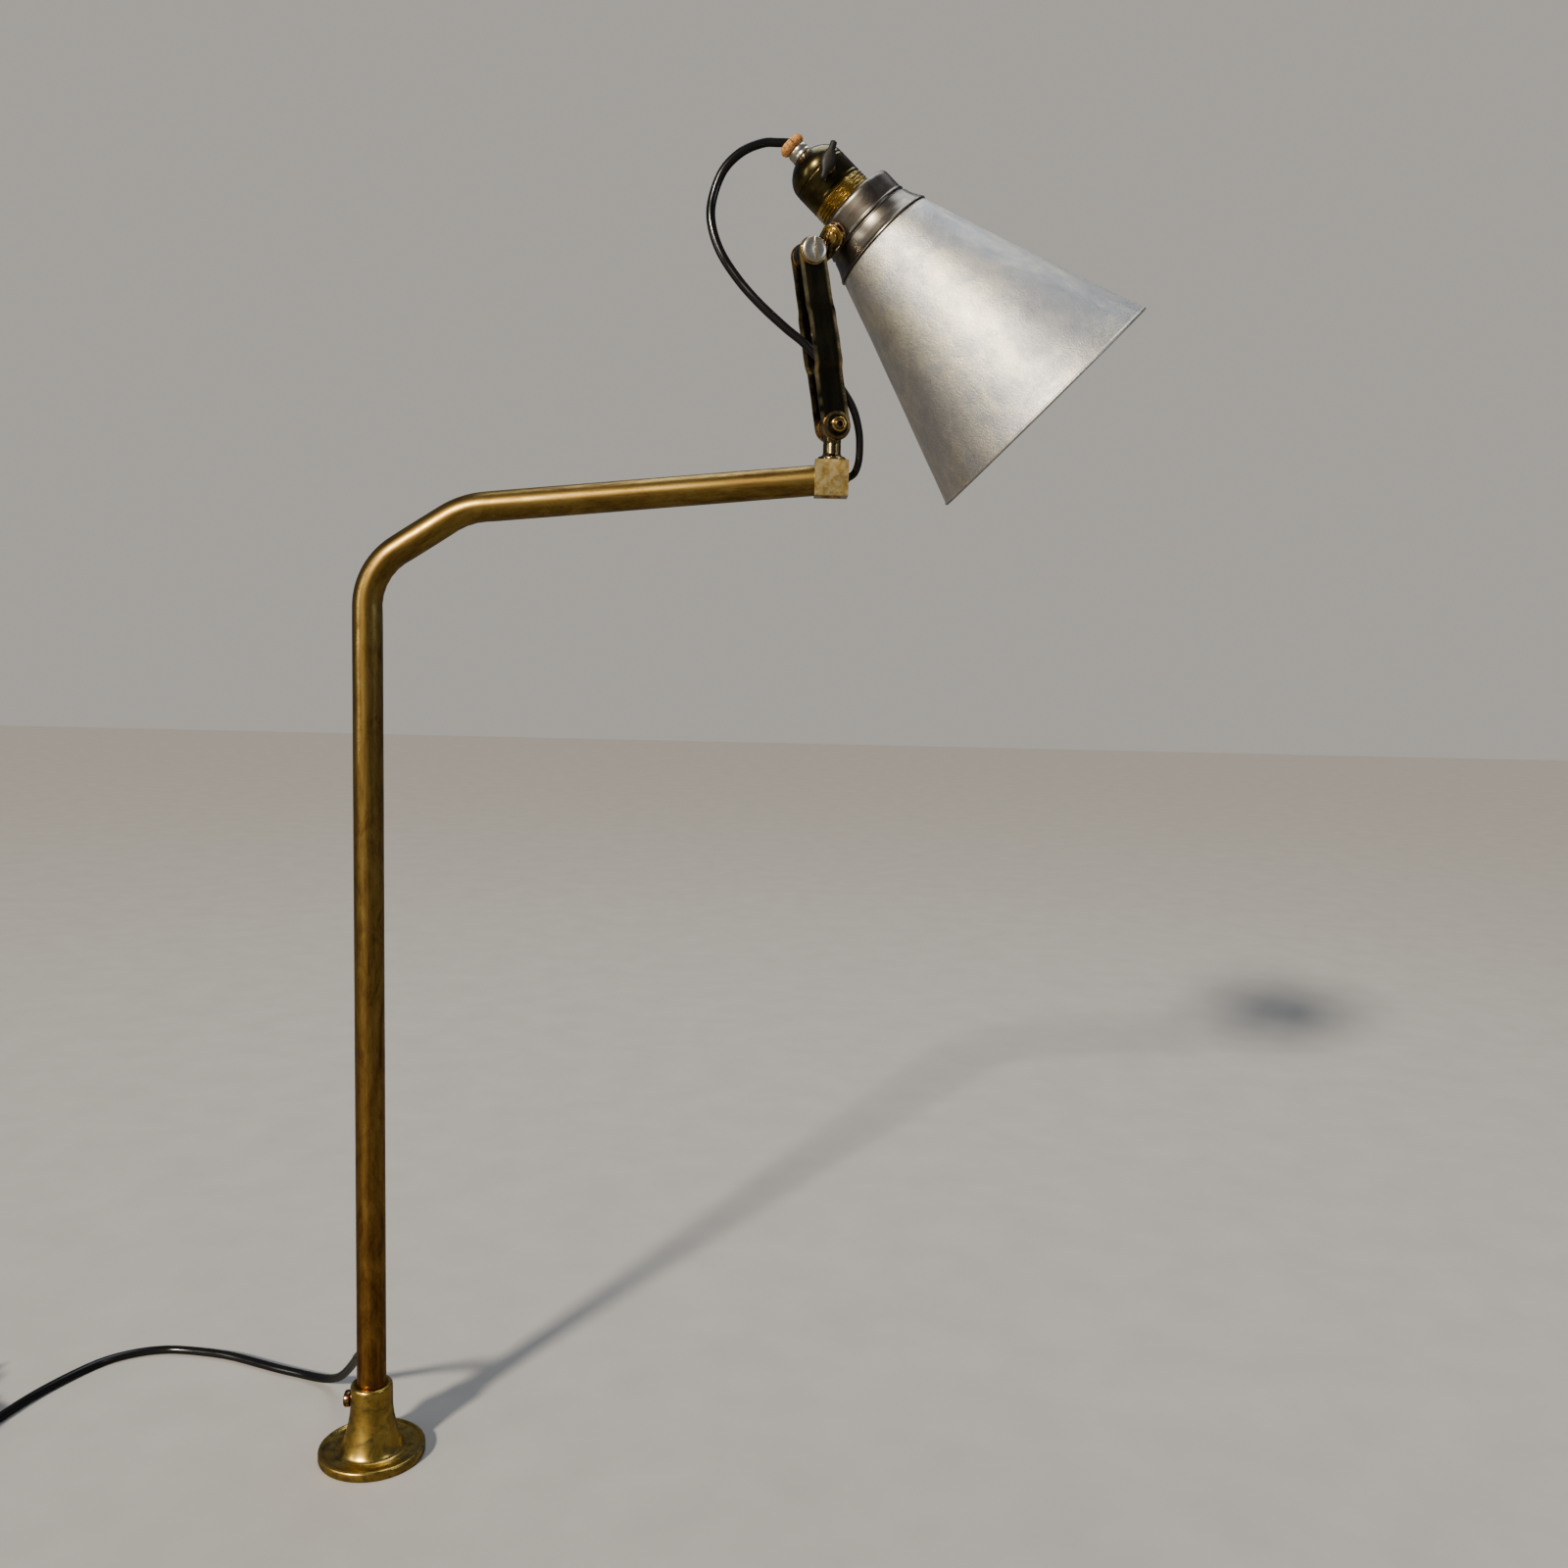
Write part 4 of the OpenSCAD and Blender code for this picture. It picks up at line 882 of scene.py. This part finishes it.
nut = lathe("upper_nut", [(2.51, -UF - 6.3), (4.3, -UF - 6.3), (4.7, -UF - 6.0), (4.7, -UF - 2.2), (4.3, -UF - 1.9), (2.51, -UF - 1.9)], UFm, 6, True)
bevel(nut, 0.15, 2, 30)
done(nut, M_GOLDSCREW, body_of_node("upper_pivot_nut"), ("upper_pivot_nut",), M=UFm)

for nm, mat in (("lower_friction_washers", M_FIBRE), ("upper_friction_washers", M_FIBRE), ("head_friction_washer", M_FIBRE),
                ("holder_insulator", M_PORC), ("contact_plunger_left", M_INNERBRASS), ("contact_plunger_right", M_INNERBRASS),
                ("plunger_springs", M_STEEL), ("terminal_screws", M_INNERBRASS), ("switch_spindle", M_INNERBRASS),
                ("flex_in_post", M_FLEX_O), ("shade_ring", M_RINGBRZ)):
    o = NODES[nm]
    o.data.materials.clear()
    o.data.materials.append(mat)

# ------------------------------------------------------------ knuckle
tz, tt = 26.4, 2.2
def hullm(name, pts):
    bm = bmesh.new()
    for p in pts:
        bm.verts.new(Vector(p) * K)
    r = bmesh.ops.convex_hull(bm, input=bm.verts)
    bmesh.ops.delete(bm, geom=[v for v in r["geom_interior"] if isinstance(v, bmesh.types.BMVert)], context="VERTS")
    bmesh.ops.recalc_face_normals(bm, faces=bm.faces)
    bmesh.ops.dissolve_limit(bm, angle_limit=0.02, verts=bm.verts, edges=bm.edges)
    me = bpy.data.meshes.new(name)
    bm.to_mesh(me)
    bm.free()
    return link(name, me)
pts = [UPPER @ Vector((x, y, z)) for x in (8.2, 10.4) for y in (-3.6, 3.6) for z in (-4, 4)]
pts += [RAD @ Vector((6 * math.cos(2 * pi * k / 40), 6 * math.sin(2 * pi * k / 40), z)) for k in range(40) for z in (tz, tz + tt)]
kn = hullm("knuckle_body", pts)
boo(kn, block("cut", (0, -3.6, -4), (10.4, 3.6, 4), UPPER), "UNION")
boo(kn, rod("cut", 6.6, tz + tt, tz + tt + 12, RAD, 64))
boo(kn, rod("cut", 6.6, tz - 12, tz, RAD, 64))
boo(kn, lathe("cut", fil([(0, -5.4), (6.3, -5.4), (6.3, 5.4), (0, 5.4)], 0.4), UPPER @ Rx(90), 64), "UNION")
boo(kn, rod("cut", 2.06, 15, 50, RAD, 40))
bevel(kn, 0.3, 2, 35)
done(kn, M_KNUCKLE, "knuckle_link", ("knuckle",), M=UPPER, sharp=32)

hb = tz + tt + 1
hs = lathe("head_screw", [(0, 18.5), (2.0, 18.5), (2.0, hb), (3.45, hb), (3.6, hb + 0.2), (3.6, hb + 0.9), (3.5, hb + 1.35), (3.2, hb + 1.85), (2.7, hb + 2.35), (2.0, hb + 2.65),
                        (1.1, hb + 2.85), (0, hb + 2.9)], RAD, 64)
boo(hs, block("cut", (-5, -0.4, tz + tt + 2.7), (5, 0.4, tz + tt + 6), RAD @ Rz(30)))
bevel(hs, 0.1, 2, 50)
done(hs, M_GOLDSCREW, body_of_node("head_pivot_screw"), ("head_pivot_screw",), M=RAD)
hw = lathe("head_washer", [(2.1, tz + tt), (5.9, tz + tt), (6.1, tz + tt + 0.2), (6.1, tz + tt + 0.55), (5.75, tz + tt + 0.8), (5.0, tz + tt + 0.85), (4.7, tz + tt + 0.7), (4.4, tz + tt + 0.95), (2.1, tz + tt + 1.0)], RAD, 80, True)
done(hw, M_GOLDSCREW, body_of_node("head_pivot_washer"), ("head_pivot_washer",), M=RAD)

# ------------------------------------------------------------ collar
outc = [(28.3, 0.02), (29.7, 0.02), (29.9, 0.2), (29.88, 0.75)]
outc += [(p.x, p.y) for p in [Vector((a[0], a[1])) for a in cr([(29.75, 0.95), (29.1, 1.7), (28.2, 3.3), (27.3, 5.0), (26.6, 6.6), (26.0, 8.3), (25.5, 9.95)], 4)]]
outc += [(25.1, 10.25), (24.75, 10.45), (24.6, 10.7), (24.6, 11.15), (24.75, 11.45), (25.1, 11.62), (25.28, 11.9), (25.3, 12.2), (25.22, 12.5), (25.0, 12.72), (24.83, 12.95), (24.8, 13.3),
         (24.8, 22.0), (24.72, 22.9), (24.5, 23.7), (24.05, 24.4), (23.4, 24.85), (22.6, 25.05), (22.0, 25.1), (14.5, 25.1), (14.3, 24.95),
         (14.3, 23.8), (22.4, 23.8), (23.1, 23.4), (23.5, 22.6), (23.5, 11), (24.2, 8), (25.6, 5)]
col = lathe("collar_shell", outc, HEAD, 128, True)
boss = lathe("cut", [(2.02, 20.5), (5.6, 20.5), (5.6, tz - 1.25), (5.35, tz - 1.0), (2.02, tz - 1.0)], RAD, 64, True)
boo(col, boss, "UNION")
done(col, M_COLLAR, "head", ("collar",), M=HEAD, sharp=34)

# ------------------------------------------------------------ shade
rim_r, neck_r, SL = 70.4, 29.1, 121.0
def cone(z):      # outside radius
    return neck_r + (rim_r - neck_r - 0.5) * (-0.6 - z) / (SL - 2.2)
sp = [(14.3, -0.02), (28.2, -0.02), (28.8, -0.2), (29.1, -0.6)]
nz = 44
sp += [(cone(-0.6 - (SL - 2.2) * i / nz), -0.6 - (SL - 2.2) * i / nz) for i in range(1, nz + 1)]
# rolled rim
rc, zc_ = rim_r - 0.75, -SL + 1.0
for i in range(0, 13):
    a = math.radians(75 - 255 * i / 12)
    sp.append((rc + 0.85 * math.cos(a), zc_ + 0.95 * math.sin(a)))
zi = [-SL + 2.4] + [-1.1 - (SL - 3.6) * (1 - i / nz) for i in range(1, nz)]
sp += [(cone(z) - 1.0, z) for z in zi]
sp += [(neck_r - 1.3, -1.1), (14.3, -1.1)]
def shade_r(r, z, a):
    if r < 30 or z < -SL + 2.6:
        return r
    w = ease((r - 30) / 12) * ease((z + SL - 2.6) / 14)
    d = noise.noise(Vector((math.cos(a) * 1.6, math.sin(a) * 1.6, z * 0.028)))
    d2 = noise.noise(Vector((math.cos(a) * 4.5 + 7, math.sin(a) * 4.5, z * 0.07)))
    return r - w * (0.28 * (d + 0.6) + 0.10 * (d2 + 0.6))
shade = lathe("shade_cone", sp, HEAD, 160, True, shade_r)
done(shade, M_ALU, "head", ("shade",), M=HEAD, sharp=45)
shade.data.materials.append(M_ALU_IN)
inv = HEAD.inverted()
for p in shade.data.polygons:
    c = inv @ (p.center / K)
    nl = inv.to_3x3() @ p.normal
    rad = Vector((c.x, c.y, 0))
    if (nl.dot(rad) < 0 and c.z > -SL + 2) or (c.z < -0.9 and c.z > -1.3 and rad.length < 28):
        p.material_index = 1

# ------------------------------------------------------------ lampholder
def thread_r(r, z, a):
    if r > 15.1 and 25.3 < z < 34.3:
        ph = (z - 1.65 * a / (2 * pi)) / 1.65
        tri = abs((ph % 1.0) - 0.5) * 2
        w = min(ease((z - 25.3) / 0.8), ease((34.3 - z) / 0.8))
        return 15.2 + 0.78 * tri * w
    return r
bp = [(11.1, -15.7), (11.4, -16), (13.9, -16), (14.2, -15.7), (14.2, 25.15), (15.2, 25.15)]
bp += [(15.2, 25.3 + 9.0 * i / 90) for i in range(91)]
bp += [(15.3, 34.4), (14.0, 34.4), (14.0, 37), (12.5, 37), (12.5, 8), (11.6, 8), (11.6, 3.8), (11.1, 3.8)]
bar = lathe("barrel", bp, HEAD, 96, True, thread_r)
for a in (0, 180):
    boo(bar, block("cut", (9, -1.25, -17), (16, 1.25, -8), HEAD @ Rz(a)))
    boo(bar, block("cut", (9, -1.6, -10.7), (16, 2.0, -8.1), HEAD @ Rz(a - 13)))
done(bar, M_THREAD, "head", ("holder_barrel",), M=HEAD, sharp=30)

hbod = lathe("holder_shell", [(14.1, 34.5), (15.5, 34.5), (15.75, 34.7), (15.8, 35.1), (15.8, 35.7), (15.68, 35.95), (15.62, 36.3), (15.66, 36.6), (15.74, 36.9), (15.74, 45.6), (15.8, 46.0), (15.8, 46.7), (15.6, 47.1), (15.3, 47.2), (14.1, 47.2)], HEAD, 112, True)
boo(hbod, rod("cut", 2.72, 5, 20, KEY, 40))
done(hbod, M_HOLDER, "head", ("holder_body",), M=HEAD, sharp=34)
dome = [(14.2, 47.3), (15.3, 47.3), (15.6, 47.5), (15.7, 47.9)]
dome += [(p.x, p.y) for p in [Vector((a[0], a[1])) for a in cr([(15.68, 48.3), (15.45, 50.0), (14.85, 51.9), (13.9, 53.6), (12.6, 55.3), (10.9, 56.8), (9.0, 58.2), (7.6, 58.95), (6.7, 59.35)], 4)]]
dome += [(6.2, 59.45), (5.95, 59.7), (5.9, 59.88), (4.05, 59.88), (4.05, 58.4), (7.6, 57.4), (9.9, 55.9), (12.0, 54), (13.4, 51.9), (14.2, 49.6)]
cap = lathe("holder_dome", dome, HEAD, 112, True)
done(cap, M_HOLDER, "head", ("holder_cap",), M=HEAD, sharp=34)
gn = lathe("grip_nut", [(2.6, 55.5), (4.0, 55.5), (4.0, 60.0), (5.5, 60.0), (5.72, 60.15), (5.8, 60.5), (5.8, 61.2), (5.6, 61.5), (5.55, 61.9), (5.68, 62.2), (5.7, 63.9), (5.5, 64.6), (5.1, 65.05), (4.5, 65.2), (2.6, 65.2)], HEAD, 80, True)
done(gn, M_NICKEL, "head", ("cord_grip_nut",), M=HEAD)

def grip(side, name):
    """one lobe of the split cork grip: half of a fat ring, crowned and a little uneven"""
    verts, rows = [], []
    seg, ns = 24, 20
    for j in range(seg + 1):
        a = -pi / 2 + pi * j / seg
        a = a if side > 0 else a + pi
        row = []
        for k in range(ns):
            t = 2 * pi * k / ns
            tr = 2.72 * (1 - 0.10 * abs(math.sin(a)) ** 3)
            r = 4.32 + tr * math.cos(t)
            r = max(r, 2.55)
            wob = 0.10 * (noise.noise(Vector((math.cos(a) * 3 + side, math.sin(a) * 3, t * 1.2))) - 0.4)
            x = math.cos(a) * (r + wob * (1 if math.cos(t) > 0 else 0))
            if side > 0:
                x = max(x, 0.22)
            else:
                x = min(x, -0.22)
            row.append(len(verts))
            verts.append((x, math.sin(a) * (r + min(wob, 0)), 68.05 + tr * math.sin(t) * 0.98))
        rows.append(row)
    faces = []
    for j in range(seg):
        for k in range(ns):
            k2 = (k + 1) % ns
            faces.append((rows[j][k], rows[j][k2], rows[j + 1][k2], rows[j + 1][k]))
    faces.append(tuple(rows[0]))
    faces.append(tuple(rows[-1]))
    return build(name, verts, faces, HEAD)
g1 = grip(1, "grip_half_1")
done(g1, M_CORK, "head", ("cord_grip_halves",), M=HEAD, sharp=60)
g2 = grip(-1, "grip_half_2")
done(g2, M_CORK, "head", M=HEAD, sharp=60)

sb = lathe("switch_ferrule", [(1.65, 13.4), (2.7, 13.4), (2.7, 16.3), (4.1, 16.3), (4.35, 16.5), (4.4, 16.8), (4.4, 17.6), (4.1, 18.1), (3.5, 18.45), (1.65, 18.5)], KEY, 64, True)
done(sb, M_PIVOT, body_of_node("switch_bush"), ("switch_bush",), M=KEY)

# switch key: flat moulded thumb-piece with a thick hub and dished faces
def key_blade():
    KM = KEY @ Rz(-62)
    verts, rows = [], []
    seg = 32
    st = []
    L = 10.55
    n = 22
    for i in range(n + 1):
        y = -L + 2 * L * i / n
        u = abs(y) / L
        hx = 4.0 - 2.3 * ease((u - 0.12) / 0.55)
        hx = max(hx, 1.52)
        if u > 0.90:
            hx *= math.sqrt(max(1 - ((u - 0.90) / 0.10) ** 2, 0.02))
        z0 = 19.0 + 1.7 * ease((u - 0.25) / 0.5)
        z1 = 26.0 - 0.35 * u
        if u > 0.90:
            q = math.sqrt(max(1 - ((u - 0.90) / 0.10) ** 2, 0.02))
            zc = (z0 + z1) / 2
            z0, z1 = zc - (zc - z0) * (0.35 + 0.65 * q), zc + (z1 - zc) * (0.35 + 0.65 * q)
        row = []
        for k in range(seg):
            t = 2 * pi * k / seg
            c, s_ = math.cos(t), math.sin(t)
            x = hx * math.copysign(abs(c) ** 0.7, c)
            z = (z0 + z1) / 2 + (z1 - z0) / 2 * math.copysign(abs(s_) ** 0.7, s_)
            row.append(len(verts))
            verts.append((x, y, z))
        rows.append(row)
    faces = []
    for j in range(n):
        for k in range(seg):
            k2 = (k + 1) % seg
            faces.append((rows[j][k], rows[j][k2], rows[j + 1][k2], rows[j + 1][k]))
    faces.append(tuple(rows[0]))
    faces.append(tuple(rows[-1]))
    o = build("key_blade", verts, faces, KM)
    return o, KM
kb, KM = key_blade()
done(kb, M_BAKE, body_of_node("switch_key"), ("switch_key",), M=KM, sharp=60)

# ------------------------------------------------------------ inner flex, one run cut where it changes hands
fp = [(252.4, 6.7, 543.8), (255.4, 6.0, 546.2), (257.2, 4.6, 551.5), (257.6, 3.4, 559), (256.8, 2, 567.8), (253.5, 0.5, 578.5),
      (247.3, -1, 588.1), (237.3, -2.4, 600), (226.9, -2.5, 610.7), (217.6, -2, 618), (204.2, -1, 629.8), (192.7, 1, 642.3),
      (182.8, 3, 656.9), (177.8, 5, 671.6), (178, 7, 684.5), (183.3, 8, 699.1), (192.7, 9, 709), (203.6, 10, 714), (211.6, 10, 714.4),
      (216.8, 10, 714.4)]
SUB = 6
allp = cr(fp, SUB)
ax = (HEAD.to_3x3() @ Vector((0, 0, 1)))
cutp = [0, 3 * SUB, 7 * SUB, 13 * SUB, len(allp) - 1]
full = [wb - wd * 3] + allp + [HEAD @ Vector((0, 0, z)) for z in (68.0, 65.0, 60.0, 54.5)]
fr_all = frames(full, (0, 1, 0))
cum = [0.0]
for i in range(1, len(full)):
    cum.append(cum[-1] + (full[i] - full[i - 1]).length)
def flex_piece(name, i0, i1, nodes, a, b, start, end):
    """flat twin flex, 3.6 x 4.8, that turns slowly along its length"""
    sides = 20
    verts, faces, tags, rows = [], [], [], []
    for i in range(i0, i1 + 1):
        t, u, v = fr_all[i]
        tw = 0.010 * cum[i] + 0.3
        row = []
        for k in range(sides):
            q = 2 * pi * k / sides
            x = 2.38 * math.cos(q)
            y = (1.82 - 0.10 * math.cos(2 * q)) * math.sin(q)
            xx, yy = x * math.cos(tw) - y * math.sin(tw), x * math.sin(tw) + y * math.cos(tw)
            row.append(len(verts))
            verts.append(full[i] + u * xx + v * yy)
            tags.append((x, y, cum[i]))
        rows.append(row)
    for j in range(len(rows) - 1):
        for k in range(sides):
            k2 = (k + 1) % sides
            faces.append((rows[j][k], rows[j][k2], rows[j + 1][k2], rows[j + 1][k]))
    faces.append(tuple(rows[0]))
    faces.append(tuple(rows[-1]))
    me = bpy.data.meshes.new(name)
    me.from_pydata([tuple(v * K) for v in verts], [], faces)
    at = me.attributes.new("sw", "FLOAT_VECTOR", "POINT")
    at.data.foreach_set("vector", [c for t in tags for c in t])
    bm = bmesh.new()
    bm.from_mesh(me)
    bmesh.ops.recalc_face_normals(bm, faces=bm.faces)
    bm.to_mesh(me)
    bm.free()
    o = link(name, me)
    done(o, M_FLEX, None, nodes, bl=(a, b, [c * K for c in start], [c * K for c in end]))
    return o
o1 = 1   # full[] has one point before allp
flex_piece("flex_1", 0, o1 + cutp[1], ("flex_at_block",), "stand", "stem", fp[0], fp[3])
flex_piece("flex_2", o1 + cutp[1], o1 + cutp[2], ("flex_at_stem",), "stem", "arm", fp[3], fp[7])
flex_piece("flex_3", o1 + cutp[2], o1 + cutp[3], ("flex_at_arm",), "arm", "knuckle_link", fp[7], fp[13])
flex_piece("flex_4", o1 + cutp[3], len(full) - 1, ("flex_at_head",), "knuckle_link", "head", fp[13], fp[18])

# ------------------------------------------------------------ stage and light
def floor():
    """plain pale bench top"""
    n_ = 24
    verts = [(-6 + 12 * i / n_, -6 + 12 * j / n_, -0.0001) for j in range(n_ + 1) for i in range(n_ + 1)]
    faces = [(j * (n_ + 1) + i, j * (n_ + 1) + i + 1, (j + 1) * (n_ + 1) + i + 1, (j + 1) * (n_ + 1) + i)
             for j in range(n_) for i in range(n_)]
    me = bpy.data.meshes.new("floor")
    me.from_pydata(verts, [], faces)
    o = link("floor", me)
    n = Nt("floor", "obj")
    s = n.noise(n.scaled((0.02, 0.02, 0.02)), 1.0, 3.0)
    dark_reflection_path = n.node("ShaderNodeLightPath")          # painted shade: glossy rays see the floor much darker, so the metal shows a shaded reflection beneath it
    c = n.mix(dark_reflection_path.outputs["Is Glossy Ray"], n.ramp(s, [(0.3, (0.46, 0.45, 0.435)), (0.7, (0.50, 0.49, 0.475))]), (0.13, 0.12, 0.105))
    mt = n.out(c, 0.8, None, 0.0)
    me.materials.append(mt)
floor()

def area(name, loc, target, size, power, color=(1, 1, 1), sy=None):
    d = bpy.data.lights.new(name, "AREA")
    d.energy = power
    d.color = color
    d.size = size
    if sy:
        d.shape = "RECTANGLE"
        d.size_y = sy
    o = bpy.data.objects.new(name, d)
    bpy.context.scene.collection.objects.link(o)
    o.location = loc
    o.rotation_euler = (Vector(target) - Vector(loc)).to_track_quat("-Z", "Y").to_euler()
    return o
sd = bpy.data.lights.new("key", "SUN")
sd.energy = 5.2
sd.angle = math.radians(5.5)
sd.color = (1.0, 0.885, 0.715)
so = bpy.data.objects.new("key", sd)
bpy.context.scene.collection.objects.link(so)
so.rotation_euler = Vector((0.46, 0.86, -0.50)).to_track_quat("-Z", "Y").to_euler()
area("left", (-2.1, -1.3, 0.95), (0.05, 0, 0.42), 0.35, 9, (1.0, 0.93, 0.80), 1.1)
area("side", (1.7, -0.7, 1.0), (0.2, 0, 0.45), 0.45, 3.0, (0.78, 0.87, 1.0))
area("top", (0.3, 0.6, 2.3), (0.2, 0.2, 0), 1.4, 16, (0.90, 0.95, 1.0))
w = bpy.data.worlds.new("world")
bpy.context.scene.world = w
w.use_nodes = True
wn = w.node_tree
bg = wn.nodes["Background"]
bg.inputs["Color"].default_value = (0.80, 0.86, 1.0, 1)
bg.inputs["Strength"].default_value = 0.11
bg2 = wn.nodes.new("ShaderNodeBackground")
bg2.inputs["Color"].default_value = (0.60, 0.57, 0.52, 1)
bg2.inputs["Strength"].default_value = 0.72
lp_ = wn.nodes.new("ShaderNodeLightPath")
mx = wn.nodes.new("ShaderNodeMixShader")
wn.links.new(lp_.outputs["Is Camera Ray"], mx.inputs[0])
wn.links.new(bg.outputs[0], mx.inputs[1])
wn.links.new(bg2.outputs[0], mx.inputs[2])
wn.links.new(mx.outputs[0], wn.nodes["World Output"].inputs["Surface"])
